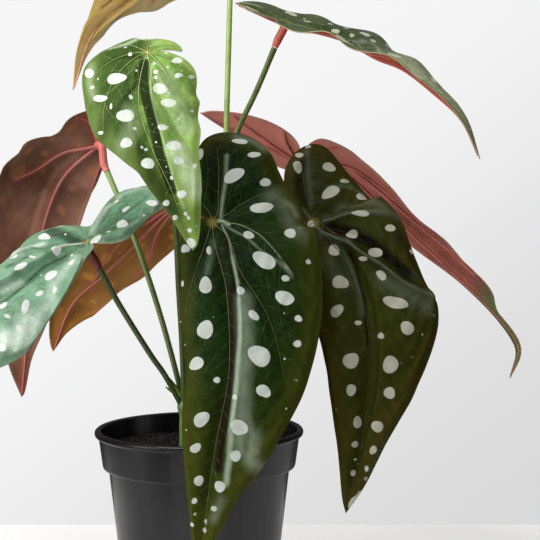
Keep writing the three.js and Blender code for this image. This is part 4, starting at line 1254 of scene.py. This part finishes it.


# How each leaf looks: upper face, underside, ribs and rim, as sRGB codes
# Of these tones, the valley tone is painted shade in valleys, hollows and beside the veins, and the pale
# streak tone is painted highlight
DARK_GREEN = dict(
    deep=0x081202, green=0x102408, light=0x1A3A10, vein=0x56703A, valley=0x140C03, margin=0x46460E,
    spot=0xA8AEA6, spot_light=0xCCD2CC, gloss=0.24, dull=0.5, specular=0.05, rib_above=0x6E7A3A, rim=0x8E9460,
    under_deep=0x4A1E1A, under=0x6E2A22, rib=0xA8473E, rim_under=0x7A3A2A,
    tip=0x3E480C, tip_span=(60, 190), tip_share=0.65, highlight_paint=0xA2B29C, highlight_paint_share=0.85, margin_share=0.45,
    coat=0.0, patch_scale=0.022, speck_gap=8.0, speck_share=0.45, ghost=0xB8632C, ghost_share=0.6,
    lit_through=0.0, lobe_span=(-60, 20),
)
LOOKS = {
    "front": dict(DARK_GREEN, wide=0x2A340A, wide_span=(18, 60), wide_share=0.6),
    "right": dict(
        DARK_GREEN, deep=0x1C2004, green=0x282E08, light=0x363C10, margin=0x3E340A, spot=0x8E8E80,
        spot_light=0xB4B4A6, valley=0x0C0803, vein=0x464C26, rib_above=0x40462A, speck_share=0.3,
        highlight_paint=0x6E7A6A, tip=0x30300A, tip_span=(40, 160), tip_share=0.5,
    ),
    # The dark wide-half tone of this leaf is painted shade over its wide half
    "upper_left": dict(
        DARK_GREEN, deep=0x5C8232, green=0x8CB458, light=0xA4C46E, vein=0xC4D68C, valley=0x1E2C08,
        margin=0x9CB862, spot=0xCCD6CA, spot_light=0xE6EEE4, gloss=0.34, dull=0.5, rib_above=0xB6C878,
        rim=0xE4E8B4, speck_share=0.6, speck_gap=5.5, margin_share=0.3, under_deep=0x8F6A2A, under=0xA88A3C,
        wide=0x203A08, wide_span=(-2, 8), wide_share=0.85, tip=0x4A5A0C, tip_span=(45, 115), tip_share=0.35,
        specular=0.08, patch_scale=0.045, highlight_paint=0xDCEECA, highlight_paint_share=0.7,
    ),
    # The pale blue-green tones of this leaf are partly its own colour and partly a painted reflection of
    # light on its glossy face
    "left": dict(
        DARK_GREEN, deep=0x447452, green=0x6A9A7A, light=0x84B08E, patch_scale=0.045, vein=0xA8C4A4,
        valley=0x12381E, margin=0x8AA888, spot=0xD2D8D4, spot_light=0xECF0EC, gloss=0.3, dull=0.4,
        rib_above=0x9CB88A, rim=0xA8C08A, margin_share=0.4, coat=0.3, speck_share=0.3,
        tip=0x9CC0A4, tip_span=(10, 120), tip_share=0.5, highlight_paint=0xE2F0E4, highlight_paint_share=0.9, specular=0.3,
    ),
    "back_left": dict(
        DARK_GREEN, under_deep=0x5C3C2A, under=0x8E6452, rib=0xA8504C, rim_under=0x7A5642,
        ghost=0xA86C3C, ghost_share=0.4,
    ),
    "back_low": dict(
        DARK_GREEN, under_deep=0x7E521A, under=0xA07034, rib=0xB8605A, rim_under=0x8A601C,
        ghost=0xD08A34, ghost_share=0.65, under_lobe=0xE89A74,
    ),
    # Seen from below against the light: the pale peach underside tones and spot ghosts of this leaf are
    # painted light shining through it
    "top_left": dict(
        DARK_GREEN, under_deep=0xFFAC62, under=0xFFD2A0, rib=0xD88A5C, rim_under=0xE0B080,
        ghost=0xFFD098, ghost_share=0.5, lit_through=0.7,
    ),
    "top_right": dict(
        DARK_GREEN, deep=0x1E2C08, green=0x32461A, light=0x52622E, vein=0x6E7C44, valley=0x26300C,
        margin=0x4E5C30, spot=0xA0A692, spot_light=0xC0C4B2, rim=0x9EA27A, speck_share=0.3, specular=0.12,
        under_deep=0xA8503C, under=0xC07058, rib=0xC86054, rim_under=0xB08C68, ghost=0xD08A6A,
        tip=0xB8BC9A, tip_span=(40, 100), tip_share=0.65,
    ),
    # The lighter lobe tone reaches far along this leaf and partly stands for light falling there: painted
    # light over its own pink
    "back_right": dict(
        DARK_GREEN, under_deep=0x7C3C32, under=0xA05A4C, rib=0xC47468, rim_under=0xC08A80,
        ghost=0xB87E6A, ghost_share=0.3, under_lobe=0xD88878, lobe_span=(0, 100),
        under_tail=0x5C6C42, tail_span=(156, 184),
    ),
}
STRONG_RIBS = {"back_left", "back_low", "top_left", "top_right", "back_right"}


# Sweeps: thin round ribs that follow paths, made by one node tree
def sweep_tree():
    """Round ribs along the edges of a mesh, as thick as each of its points says."""
    tree, given, made = new_node_group("sweep_along_paths", {
        "Sides": "Int", "Main Material": "Material", "Other Material": "Material",
    })
    paths = first_of(tree, "GeometryNodeMeshToCurve", {0: given["Geometry"]})
    circle = first_of(tree, "GeometryNodeCurvePrimitiveCircle", {"Resolution": given["Sides"], "Radius": 1.0})
    thick = first_of(tree, "GeometryNodeInputNamedAttribute", {"Name": "thick"}, data_type="FLOAT")
    swept = first_of(tree, "GeometryNodeCurveToMesh", {
        "Curve": paths, "Profile Curve": circle, "Scale": thick, "Fill Caps": True,
    })
    smooth = first_of(tree, "GeometryNodeSetShadeSmooth", {0: swept})
    real = first_of(tree, "GeometryNodeRealizeInstances", {0: smooth})
    main = first_of(tree, "GeometryNodeSetMaterial", {0: real, "Material": given["Main Material"]})
    other = first_of(tree, "GeometryNodeInputNamedAttribute", {"Name": "other"}, data_type="FLOAT")
    chosen = first_of(tree, "FunctionNodeCompare", {0: other, 1: 0.5}, operation="GREATER_THAN")
    both = first_of(tree, "GeometryNodeSetMaterial", {
        0: main, "Selection": chosen, "Material": given["Other Material"],
    })
    tree.links.new(both, made)
    return tree


def shown_mesh(thing):
    """The mesh of an object with its modifiers applied."""
    graph = bpy.context.evaluated_depsgraph_get()
    return bpy.data.meshes.new_from_object(thing.evaluated_get(graph), depsgraph=graph)


def run_nodes(mesh, tree, values):
    """The mesh that a node tree makes from this one, with its named inputs set."""
    holder = linked("holder", mesh)
    step = holder.modifiers.new("nodes", "NODES")
    step.node_group = tree
    for socket in tree.interface.items_tree:
        if socket.item_type == "SOCKET" and socket.in_out == "INPUT" and socket.name in values:
            step[socket.identifier] = values[socket.name]
    made = shown_mesh(holder)
    bpy.data.objects.remove(holder)
    return made


def swept_mesh(name, paths, sides, main, other=None):
    """Round ribs along paths of (points, thickness, colour share, other material or not)."""
    points, edges, thick, share, kind = [], [], [], [], []
    for path, width, tone, use_other in paths:
        first = len(points)
        points.extend(path)
        edges.extend((first + i, first + i + 1) for i in range(len(path) - 1))
        thick.extend(np.broadcast_to(width, len(path)) * METRE)
        share.extend(np.broadcast_to(tone, len(path)))
        kind.extend([float(use_other)] * len(path))
    mesh = bpy.data.meshes.new(name + "_paths")
    mesh.from_pydata((np.array(points) * METRE).tolist(), edges, [])
    set_values(mesh, "thick", thick)
    set_values(mesh, "share", share)
    set_values(mesh, "other", kind)
    made = run_nodes(mesh, SWEEP, {"Sides": sides, "Main Material": main, "Other Material": other or main})
    made.name = name
    return made


SWEEP = sweep_tree()


def blade_faces(around, rings_above, rings_below, turned):
    """Faces and finish numbers of an upper face, a lower face and the rim between them."""
    faces = []
    slots = []
    start_below = 1 + rings_above * around
    start_edge = start_below + 1 + rings_below * around

    def add(corners, slot):
        faces.append(corners[::-1] if turned != (slot == 1) else corners)
        slots.append(slot)

    for rings, start, slot in ((rings_above, 0, 0), (rings_below, start_below, 1)):
        for ray in range(around):
            after = (ray + 1) % around
            add((start, start + 1 + after, start + 1 + ray), slot)
            for ring in range(rings - 1):
                a = start + 1 + ring * around + ray
                b = start + 1 + ring * around + after
                add((a, b, b + around, a + around), slot)
    top_ring = start_below - around
    low_ring = start_edge - around
    for ray in range(around):
        after = (ray + 1) % around
        add((top_ring + ray, top_ring + after, start_edge + after, start_edge + ray), 2)
        add((start_edge + ray, start_edge + after, low_ring + after, low_ring + ray), 2)
    return faces, slots


def blade_mesh(blade, grid, finishes, spots):
    """A closed blade with relief: upper face, lower face and a round rim."""
    wide_rays, narrow_rays, rings_above, rings_below = [int(count * quick_share()) for count in grid]
    above, around = blade.grid(wide_rays, narrow_rays, rings_above)
    below, _ = blade.grid(wide_rays, narrow_rays, rings_below)
    rim = above[-around:]
    half = LEAF_THICKNESS / 2
    levels = []
    gaps = []
    for flat, offset in ((above, half), (below, -half), (rim, 0)):
        point, normal = blade.surface(flat)
        height, gap = blade.relief(flat)
        levels.append(point + normal * (height + offset)[:, None])
        gaps.append(gap)
    levels[2] = levels[2] + EDGE_BULGE * unit(levels[2] - levels[0][-2 * around:-around])
    faces, slots = blade_faces(around, rings_above, rings_below, blade.side < 0)
    mesh = make_mesh("leaf_" + blade.name, np.vstack(levels), faces, finishes, slots)
    flat = np.vstack([above, below, rim])
    reach = np.hypot(*flat.T)
    set_places(mesh, "flat", np.column_stack([flat, np.full(len(flat), PATTERN_STEP * len(blade.name))]))
    set_values(mesh, "spot", spot_distance(spots, flat))
    set_values(mesh, "vein", np.concatenate(gaps))
    set_values(mesh, "edge", np.maximum(blade.reach_at(flat) - reach, 0) * blade.edge_squareness(flat))
    set_values(mesh, "reach", reach)
    # Masks of the painted highlights and the painted shade on the upper face
    set_values(mesh, "gleam", blade.streaks(PAINTED_HIGHLIGHTS_SEEN, flat))
    set_values(mesh, "shade", blade.streaks(PAINTED_SHADES_SEEN, flat))
    return mesh


# The leaves: radii of main ribs and twigs, and the chance spots of a leaf, as how many there are
# at least, how many there are beyond the seen ones, and how big the biggest is
RADII_ABOVE = (0.18, 0.04)
STRONG_BELOW = (1.6, 0.05)
FINE_BELOW = (0.8, 0.18)
RIB_STEP = 2.5
RIB_TAPER = 0.3
RIB_SIDES = 6
CHANCE_SPOTS = dict(front=(0, 0, 0), right=(0, 0, 0), upper_left=(0, 16, 1.8), left=(0, 16, 1.8))
USUAL_CHANCE = (42, 8, 5.2)


def leaf_finishes(name, look):
    return [
        upper_face(f"leaf_{name}_upper", look),
        under_face(f"leaf_{name}_under", look),
        plain_skin(f"leaf_{name}_rim", look["rim"], look["rim_under"], 0.4),
    ]


def vein_paths(blade, branches, strong):
    """Ribs on both faces: thin ones that stand a little proud above, thicker ones below."""
    paths = []
    radii_below = STRONG_BELOW if strong else FINE_BELOW
    for group, above, below in zip((blade.veins, branches), RADII_ABOVE, radii_below):
        for path in group:
            fine = evenly(path, max(4, int(lengths_along(path)[-1] / RIB_STEP)))
            point, normal = blade.surface(fine)
            height, _ = blade.relief(fine)
            taper = np.linspace(1, RIB_TAPER, len(fine))
            for radius, side in ((above, 1), (below, -1)):
                thick = radius * taper
                sunk = np.minimum(0.65 * thick, RIB_ROOT)
                lift = height + side * (LEAF_THICKNESS / 2 + thick - sunk)
                paths.append((point + normal * lift[:, None], thick, 0.5, side < 0))
    return paths


def build_leaf(number, name, leaf):
    random = np.random.default_rng(SEED + number)
    look = LOOKS[name]
    blade = Blade(name, leaf)
    blade.veins = main_veins(blade)
    blade.folds = [(blade.seen_line(path), crest, width) for path, crest, width in FOLDS_SEEN.get(name, [])]
    branches = twigs(blade, random)
    spots = seen_spots(blade)
    least, beyond, biggest = CHANCE_SPOTS.get(name, USUAL_CHANCE)
    spots = random_spots(blade, random, spots, max(least, len(spots) + beyond), biggest)
    is_strong = name in STRONG_RIBS
    grid = PLAIN_GRID if is_strong else FINE_GRID
    mesh = blade_mesh(blade, grid, leaf_finishes(name, look), spots)
    place_piece(f"leaf_{name}_blade", mesh, [f"leaf_{name}"])
    rib_above = plain_skin(f"leaf_{name}_rib_above", look["rib_above"], look["vein"], 0.4)
    rib_below = plain_skin(f"leaf_{name}_rib_below", look["rib"], look["under"], 0.42)
    paths = vein_paths(blade, branches, is_strong)
    ribs = swept_mesh(f"leaf_{name}_veins", paths, RIB_SIDES, rib_above, rib_below)
    place_piece(f"leaf_{name}_veins", ribs)
    return blade


BLADES = {name: build_leaf(i, name, leaf) for i, (name, leaf) in enumerate(LEAVES.items())}


# The stems and the red stalk ends
STEM_COLOURS = {
    "tall": (0x46591F, 0x9DB866), "left": (0x36491A, 0x84A25A), "back": (0x466428, 0x86A84A),
}
CANE_TONES = dict(tall=(0, 0.8), left=(0.9, 0.6), back=(0, 0.8))
STALK_TONES = dict(
    top_left=(0.85, 1), top_right=(0.2, 0.05), left=(0.1, 0), upper_left=(0.2, 0.1),
    front=(0.1, 0.3), right=(0.1, 0.3), back_left=(0.2, 1), back_low=(0.1, 1), back_right=(0.1, 1),
)


CURVE_STEPS = 24
CANE_ROWS = 70
STALK_ROWS = 60
STEM_SIDES = 14
CANE_THINNER = 0.1
CANE_TIP = 1.5
SCAR_HEIGHTS = (128, 150)
SCAR_SWELL = 0.35
JOINT_SWELL = 0.8
STALK_RADIUS = 1.9
FOOT_SWELL = 0.8
FOOT_REACH = 5
TOP_SWELL = 0.15
TOP_REACH = 12


def swellings(path, radius, places, height):
    """Radius along a path that swells a little at each joint."""
    made = np.full(len(path), float(radius))
    for place in places:
        gap = np.linalg.norm(path - np.asarray(place, float), axis=1)
        made += height * np.exp(-((gap / SWELLING_REACH) ** 2))
    return made


def cane_path(name, cane, joints):
    """The cane with its swollen joints and scars, and a short narrow tip."""
    cane = evenly(curve_through(cane, CURVE_STEPS), int(CANE_ROWS * quick_share()))
    scars = [cane[np.argmin(np.abs(cane[:, 2] - height))] for height in SCAR_HEIGHTS]
    radius = swellings(cane, CANE_RADIUS - CANE_THINNER, joints, JOINT_SWELL)
    radius = radius + swellings(cane, 0, scars, SCAR_SWELL)
    tip = cane[-1] + unit(cane[-1] - cane[-2]) * CANE_TIP
    radius = np.append(radius, radius[-1] * 0.7)
    return np.vstack([cane, tip]), radius, np.linspace(*CANE_TONES[name], len(cane) + 1), False


def stalk_path(name, stalk):
    """A stalk that is thick at its foot and a little at its top."""
    path = evenly(curve_through(stalk, CURVE_STEPS), int(STALK_ROWS * quick_share()))
    along = lengths_along(path)
    foot = FOOT_SWELL * np.exp(-along / FOOT_REACH)
    top = TOP_SWELL * smooth_step(along[-1] - TOP_REACH, along[-1], along)
    return path, STALK_RADIUS + foot + top, np.linspace(*STALK_TONES[name], len(path)), False


def build_stem(name, stem):
    stalks = stem["stalks"]
    paths = [cane_path(name, stem["cane"], [stalk[0] for stalk in stalks.values()])]
    paths += [stalk_path(leaf_name, stalk) for leaf_name, stalk in stalks.items()]
    foot, top = STEM_COLOURS[name]
    skin = stem_skin(f"stem_{name}_skin", foot, top)
    mesh = swept_mesh(f"stem_{name}_stalks", paths, STEM_SIDES, skin)
    place_piece(f"stem_{name}_stalks", mesh, [f"stem_{name}"])


def stalk_end_path(blade, start, before):
    """From just off the green stalk, turned square to the blade, to its underside."""
    seat, _ = blade.surface(np.zeros((1, 2)))
    turns = np.arange(8) / 8 * 2 * math.pi
    ring = 1.5 * STALK_END_RADIUS * np.column_stack([np.cos(turns), np.sin(turns)])
    around, normals = blade.surface(ring)
    normal = unit(normals.sum(axis=0))
    droop = max(0.0, float(np.max((seat - around) @ normal)))
    end = seat[0] - normal * (CAD_THICKNESS / 2 + SEAT_GAP + droop)
    lead = unit(np.subtract(start, before))
    base = np.asarray(start) + lead * SEAT_GAP
    span = np.linalg.norm(end - base)
    return curve_through([base, base + lead * span * 0.3, end - normal * span * 0.25, end], 10)


END_COLOURS = {
    "front": (0x5A2A1E, 0x8A3A2C), "right": (0x5A2A1E, 0x8A3A2C), "upper_left": (0x8A4A2A, 0xA86A3A),
    "left": (0x7A141C, 0x480810), "back_left": (0xD87C74, 0xC86864), "back_low": (0xB8503A, 0xA8483A),
    "top_left": (0xC0604A, 0xA84838), "top_right": (0xD4604E, 0xD87064), "back_right": (0xB85A54, 0xC87468),
}


END_ROWS = 24
END_SIDES = 18
END_RADIUS = 2.2
END_SWELL = 0.6
END_FLARE = 0.7


def build_stalk_end(name, blade, stalk):
    path = evenly(stalk_end_path(blade, stalk[-1], stalk[-2]), END_ROWS)
    along = lengths_along(path)
    total = along[-1]
    radius = END_RADIUS + END_SWELL * smooth_step(0, 5, along)
    radius = radius + END_FLARE * smooth_step(total - 4, total, along)
    foot, top = END_COLOURS[name]
    finish = stem_skin(f"stalk_end_{name}_finish", foot, top, 0.4)
    paths = [(path, radius, along / total, False)]
    mesh = swept_mesh(f"stalk_end_{name}_skin", paths, END_SIDES, finish)
    place_piece(f"stalk_end_{name}_skin", mesh, [f"stalk_end_{name}"])


for stem_name, stem in STEMS.items():
    build_stem(stem_name, stem)
    for leaf_name, stalk in stem["stalks"].items():
        build_stalk_end(leaf_name, BLADES[leaf_name], stalk)


# Bracts: small pointed scales at the joints of the left and the tall stem, each with its foot,
# the way to its tip and half its width
BRACT_PLACES = [
    ((-11, -3, 147), (-11, -2, 16), 1.5), ((-14, -3, 148), (-9, -2, 7), 1.1),
    ((-9, -3, 140), (2, -2, 9), 1.3), ((-13, 2, 148), (1, 2, 9), 1.3),
    ((9, 4, 186), (-4, -2, 9), 1.3), ((19, 0, 305), (4, -2, 9), 1.4),
]


BRACT_ROWS = 10
BRACT_COLUMNS = 7
BRACT_CUP = 0.6
BRACT_HALF_THICKNESS = 0.12
BRACT_TIP_WIDTH = 0.02


def bract_points(base, reach, half_width):
    """The outer and then the inner side of a scale, cupped along its length."""
    base, reach = np.asarray(base, float), np.asarray(reach, float)
    forward = unit(reach)
    sideways = unit(np.cross(forward, (0.2, -1, 0.1)))
    outward = np.cross(sideways, forward)
    points = []
    for face_side in (1, -1):
        for row in range(BRACT_ROWS + 1):
            share = row / BRACT_ROWS
            width = BRACT_TIP_WIDTH
            if row < BRACT_ROWS:
                width = half_width * math.sin(math.pi * (0.25 + 0.75 * share)) ** 0.8
            for column in range(BRACT_COLUMNS):
                across = column / (BRACT_COLUMNS - 1) * 2 - 1
                thickness = BRACT_HALF_THICKNESS * face_side * (1 - abs(across) ** 6)
                cup = BRACT_CUP * (1 - across**2) + thickness
                points.append(base + reach * share + sideways * across * width + outward * cup)
    return points


def bract_faces(first):
    """Both sides of a scale and the edge between them."""
    rows, columns = BRACT_ROWS, BRACT_COLUMNS
    sheet = (rows + 1) * columns
    faces = []
    for row in range(rows):
        for column in range(columns - 1):
            a = first + row * columns + column
            quad = (a, a + 1, a + columns + 1, a + columns)
            faces.append(quad)
            faces.append(tuple(corner + sheet for corner in quad[::-1]))
    rim = [first + column for column in range(columns)]
    rim += [first + row * columns + columns - 1 for row in range(1, rows + 1)]
    rim += [first + rows * columns + column for column in range(columns - 2, -1, -1)]
    rim += [first + row * columns for row in range(rows - 1, 0, -1)]
    for a, b in zip(rim, rim[1:] + rim[:1]):
        faces.append((b, a, a + sheet, b + sheet))
    return faces


def bract_mesh(finish):
    points = []
    faces = []
    for place in BRACT_PLACES:
        faces += bract_faces(len(points))
        points += bract_points(*place)
    return make_mesh("bracts", points, faces, [finish])


place_piece("stem_bracts", bract_mesh(plain_skin("bract_skin", 0x4E6A28, 0x7A8A3C, 0.5)))


# The pot
POT = dict(height=126, base=50, shoulder=100, shoulder_radius=61.2, band_low=65.2, band_top=67.9, lip=70.5,
           lip_height=3.6, wall=1.6, floor=2.4)
POT_SIDES = 144
POT_ROUNDING = 0.7
DRAIN = dict(count=6, radius=4, circle=36, sides=24, past=3)


def pot_inner_radius(height):
    foot = POT["shoulder"] + 3
    outer = np.interp(height, [0, POT["shoulder"], foot, POT["height"]],
                      [POT["base"], POT["shoulder_radius"], POT["band_low"], POT["band_top"]])
    return outer - POT["wall"]


def rounded(profile, radius):
    """A profile whose corners are cut to short arcs."""
    made = [np.asarray(profile[0], float)]
    for before, corner, after in zip(profile, profile[1:], profile[2:]):
        before, corner, after = (np.asarray(p, float) for p in (before, corner, after))
        reach = min(radius, np.linalg.norm(corner - before) * 0.4, np.linalg.norm(after - corner) * 0.4)
        start = corner + unit(before - corner) * reach
        end = corner + unit(after - corner) * reach
        for share in (0, 0.25, 0.5, 0.75, 1):
            made.append((1 - share) ** 2 * start + 2 * share * (1 - share) * corner + share**2 * end)
    made.append(np.asarray(profile[-1], float))
    return np.array(made)


def turned_mesh(name, profile, sides, finish):
    """A profile that starts and ends on the axis, turned round it."""
    ring = profile[1:-1]
    turn = np.arange(sides) / sides * 2 * math.pi
    points = [(0, 0, profile[0][1])]
    for radius, height in ring:
        points.extend(zip(radius * np.cos(turn), radius * np.sin(turn), [height] * sides))
    points.append((0, 0, profile[-1][1]))
    faces = []
    last = len(points) - 1
    for i in range(sides):
        after = (i + 1) % sides
        faces.append((0, 1 + after, 1 + i))
        for row in range(len(ring) - 1):
            a = 1 + row * sides
            faces.append((a + i, a + after, a + sides + after, a + sides + i))
        a = 1 + (len(ring) - 1) * sides
        faces.append((a + i, a + after, last))
    return make_mesh(name, points, faces, [finish])


def pot_mesh(finish):
    top, shoulder, lip, band_top = [POT[key] for key in ("height", "shoulder", "lip", "band_top")]
    lip_foot = top - POT["lip_height"]
    outside = [
        (0, 0), (POT["base"] - 1.5, 0), (POT["base"], 1.5), (POT["shoulder_radius"], shoulder),
        (POT["band_low"] - 0.6, shoulder + 0.6), (POT["band_low"], shoulder + 1.8),
        (band_top, lip_foot - 0.8), (lip - 0.4, lip_foot - 0.2), (lip, lip_foot + 0.8),
        (lip, top - 1.2), (lip - 1.1, top), (band_top - 0.6, top),
    ]
    heights = (top - 0.9, shoulder + 3, shoulder, POT["floor"])
    inside = [(pot_inner_radius(height), height) for height in heights]
    profile = rounded([*outside, *inside, (0, POT["floor"])], POT_ROUNDING)
    return drained(turned_mesh("pot", profile, POT_SIDES, finish))


def drained(mesh):
    """The pot with its drain holes cut through the floor."""
    pot = linked("pot_blank", mesh)
    cutters = []
    for i in range(DRAIN["count"]):
        turn = (i + 0.5) / DRAIN["count"] * 2 * math.pi
        low, high = -DRAIN["past"], POT["floor"] + DRAIN["past"]
        radius = DRAIN["radius"]
        profile = [(0, low), (radius, low), (radius, high), (0, high)]
        drill = turned_mesh("drill", profile, DRAIN["sides"], None)
        for vertex in drill.vertices:
            vertex.co += Vector((math.cos(turn), math.sin(turn), 0)) * DRAIN["circle"] * METRE
        cutter = linked("drill", drill)
        cutters.append(cutter)
        cut = pot.modifiers.new("drain", "BOOLEAN")
        cut.operation = "DIFFERENCE"
        cut.solver = "EXACT"
        cut.object = cutter
    made = shown_mesh(pot)
    for thing in (pot, *cutters):
        bpy.data.objects.remove(thing)
    return made


place_piece("pot_shell", pot_mesh(pot_finish()), ["pot"])

# The soil and its crumbs
SOIL_TOP = 112
SOIL_FINISH = soil_finish()
CRUMB_SPACING = 2.4
CRUMB_RADIUS = 1.7
CRUMBS_PER_SQUARE_METRE = 130000.0
CRUMB_ROUGHNESS = 0.0025
CRUMB_LEAST = (0.4, 0.4, 0.3)
CRUMB_MOST = (1.3, 1.3, 0.9)
CRUMB_TURN = (6.3, 6.3, 6.3)


def soil_height(x, y):
    wave = 1.1 * (np.sin(x * 0.31 + 1) * np.cos(y * 0.27) + 0.5 * np.sin(x * 0.11 - y * 0.53))
    fine = 0.5 * np.sin(x * 1.1 + 2 * np.sin(y * 0.7)) * np.cos(y * 0.9 + 1.5 * np.sin(x * 0.5))
    return SOIL_TOP + wave + fine


def soil_mesh():
    bottom = POT["floor"] + SEAT_GAP
    sides = 120
    heights = (bottom, POT["shoulder"], POT["shoulder"] + 3, SOIL_TOP - 3)
    edge = [(pot_inner_radius(height) - SEAT_GAP, height) for height in heights]
    rim = edge[-1][0]
    crown = [((rim - 0.8) * share, SOIL_TOP) for share in np.linspace(1, 0.02, 40)]
    profile = [(0, bottom), *edge, *crown, (0, SOIL_TOP)]
    mesh = turned_mesh("soil", profile, sides, SOIL_FINISH)
    for vertex in mesh.vertices:
        x, y, z = vertex.co / METRE
        if z > SOIL_TOP - 1:
            vertex.co.z = float(soil_height(x, y)) * METRE
    return mesh


def crumb_tree():
    """Lumps strewn over a surface, each turned and sized by chance."""
    tree, given, made = new_node_group("crumbs_on_soil", {
        "Spacing": "Float", "Density": "Float", "Crumb Radius": "Float", "Seed": "Int",
        "Material": "Material",
    })
    strewn = first_of(tree, "GeometryNodeDistributePointsOnFaces", {
        "Mesh": given["Geometry"], "Distance Min": given["Spacing"], "Density Max": given["Density"],
        "Seed": given["Seed"],
    }, distribute_method="POISSON")
    ball = first_of(tree, "GeometryNodeMeshIcoSphere", {"Radius": given["Crumb Radius"], "Subdivisions": 2})
    rough = add_node(tree, "ShaderNodeTexNoise", {"Scale": 420.0, "Detail": 2.0}).outputs["Color"]
    centred = sums_of_vectors(tree, "SUBTRACT", rough, (0.5, 0.5, 0.5))
    push = first_of(tree, "ShaderNodeVectorMath", {0: centred, 3: CRUMB_ROUGHNESS}, operation="SCALE")
    lump = first_of(tree, "GeometryNodeSetPosition", {0: ball, "Offset": push})
    turn, size = [
        first_of(tree, "FunctionNodeRandomValue", {0: least, 1: most}, data_type="FLOAT_VECTOR")
        for least, most in (((0, 0, 0), CRUMB_TURN), (CRUMB_LEAST, CRUMB_MOST))
    ]
    placed = first_of(tree, "GeometryNodeInstanceOnPoints", {
        "Points": strewn, "Instance": lump, "Rotation": turn, "Scale": size,
    })
    real = first_of(tree, "GeometryNodeRealizeInstances", {0: placed})
    done = first_of(tree, "GeometryNodeSetMaterial", {0: real, "Material": given["Material"]})
    tree.links.new(done, made)
    return tree


def crumbs_mesh():
    """Crumbs over the soil, kept off the pot's wall."""
    sides = 48
    rings = 12
    rim = 62.0
    points = [(0, 0, soil_height(0, 0))]
    faces = []
    for ring in range(1, rings + 1):
        for i in range(sides):
            turn = i / sides * 2 * math.pi
            x = rim * ring / rings * math.cos(turn)
            y = rim * ring / rings * math.sin(turn)
            points.append((x, y, float(soil_height(x, y))))
    for i in range(sides):
        after = (i + 1) % sides
        faces.append((0, 1 + i, 1 + after))
        for ring in range(rings - 1):
            a = 1 + ring * sides
            faces.append((a + i, a + sides + i, a + sides + after, a + after))
    ground = make_mesh("soil_ground", points, faces, [SOIL_FINISH])
    made = run_nodes(ground, crumb_tree(), {
        "Spacing": CRUMB_SPACING * METRE, "Density": CRUMBS_PER_SQUARE_METRE,
        "Crumb Radius": CRUMB_RADIUS * METRE, "Seed": SEED, "Material": SOIL_FINISH,
    })
    made.name = "soil_crumbs"
    return made


place_piece("soil_body", soil_mesh(), ["soil"])
place_piece("soil_crumbs", crumbs_mesh())


# Floor, backdrop, light and camera
FLOOR = dict(left=-300, right=380, front=-170, back=237)
FLOOR_TONE = 0xE6E5E4
FLOOR_PALER = 0xECEBEA
FLOOR_GLOW = 0.3
WALL_BRIGHT = 0xF6F6F7
WALL_DIM = 0xDADADB
SKY_LIGHT = 0.12
ROOM_LIGHT = 0.06


def build_floor():
    corners = (("left", "front"), ("right", "front"), ("right", "back"), ("left", "back"))
    points = [(FLOOR[x], FLOOR[y], 0) for x, y in corners]
    material, tree, shader = new_finish("floor_pale")
    plug(tree, shader, {
        "Base Color": two_tones(tree, noise(tree, place_of(tree), 2.0), FLOOR_TONE, FLOOR_PALER),
        "Roughness": 0.7,
        "Emission Color": (1, 1, 1, 1),
        "Emission Strength": FLOOR_GLOW,
    })
    linked("floor", make_mesh("floor", points, [(0, 1, 2, 3)], [material]))


def build_world():
    """A pale wall for the camera, and a softer room for everything else."""
    world = bpy.data.worlds.new("studio")
    bpy.context.scene.world = world
    world.use_nodes = True
    tree = world.node_tree
    background = tree.nodes["Background"]
    way = add_node(tree, "ShaderNodeTexCoord", {}).outputs["Generated"]
    x, y, z = add_node(tree, "ShaderNodeSeparateXYZ", {0: way}).outputs
    slant = sums(tree, "SUBTRACT", z, sums(tree, "MULTIPLY", x, 0.8))
    wall = two_tones(tree, between(tree, slant, -0.38, 0.1), WALL_DIM, WALL_BRIGHT)
    behind = between(tree, y, -0.3, 0.6, ROOM_LIGHT, SKY_LIGHT)
    high = between(tree, z, -0.2, 0.9, 0.6, 1.5)
    from_left = between(tree, x, -0.8, 0.8, 1.1, 0.8)
    level = sums(tree, "MULTIPLY", sums(tree, "MULTIPLY", behind, high), from_left)
    room = first_of(tree, "ShaderNodeCombineColor", {0: level, 1: level, 2: level})
    seen = add_node(tree, "ShaderNodeLightPath", {}).outputs["Is Camera Ray"]
    tree.links.new(mixed(tree, seen, room, wall), background.inputs["Color"])


WARM = (1.0, 0.985, 0.96)
COOL = (0.97, 0.985, 1.0)
WHITE = (1.0, 1.0, 1.0)
LIGHTS = dict(
    window=dict(place=(-1.1, -0.72, 0.6), aim=0.2, size=(0.5, 1.2), power=16, tone=WARM),
    above=dict(place=(-0.25, -0.75, 1.6), aim=0.25, size=(1.4, 0.7), power=24, tone=WARM),
    side=dict(place=(1.4, -0.3, 0.6), aim=0.25, size=(0.3, 0.9), power=1.5, tone=COOL),
    high_back=dict(place=(0.1, 0.9, 1.4), aim=0.3, size=(1.4, 0.6), power=3, tone=WHITE),
    low_front=dict(place=(0.0, -1.2, -0.35), aim=0.35, size=(1.6, 0.5), power=5.5, tone=WARM),
)


def build_light(name, place, aim, size, power, tone):
    """A soft light in metres and watts that looks at the plant's axis at the height of its aim."""
    light = bpy.data.lights.new(name, "AREA")
    light.shape = "RECTANGLE"
    light.size, light.size_y = size
    light.energy = power
    light.color = tone
    lamp = linked(name, light)
    lamp.location = Vector(place)
    lamp.rotation_euler = (Vector((0, 0, aim)) - Vector(place)).to_track_quat("-Z", "Y").to_euler()


def build_camera():
    lens = bpy.data.cameras.new("camera")
    lens.sensor_width = 36
    lens.lens = FOCAL_PIXELS / PICTURE_SIDE * lens.sensor_width
    camera = linked("camera", lens)
    camera.location = Vector(CAMERA_PLACE) * METRE
    camera.rotation_euler = (math.radians(90 - CAMERA_PITCH), 0, 0)
    bpy.context.scene.camera = camera


build_floor()
build_world()
for light_name, light in LIGHTS.items():
    build_light(light_name, **light)
build_camera()
bpy.context.scene.view_settings.view_transform = "Standard"
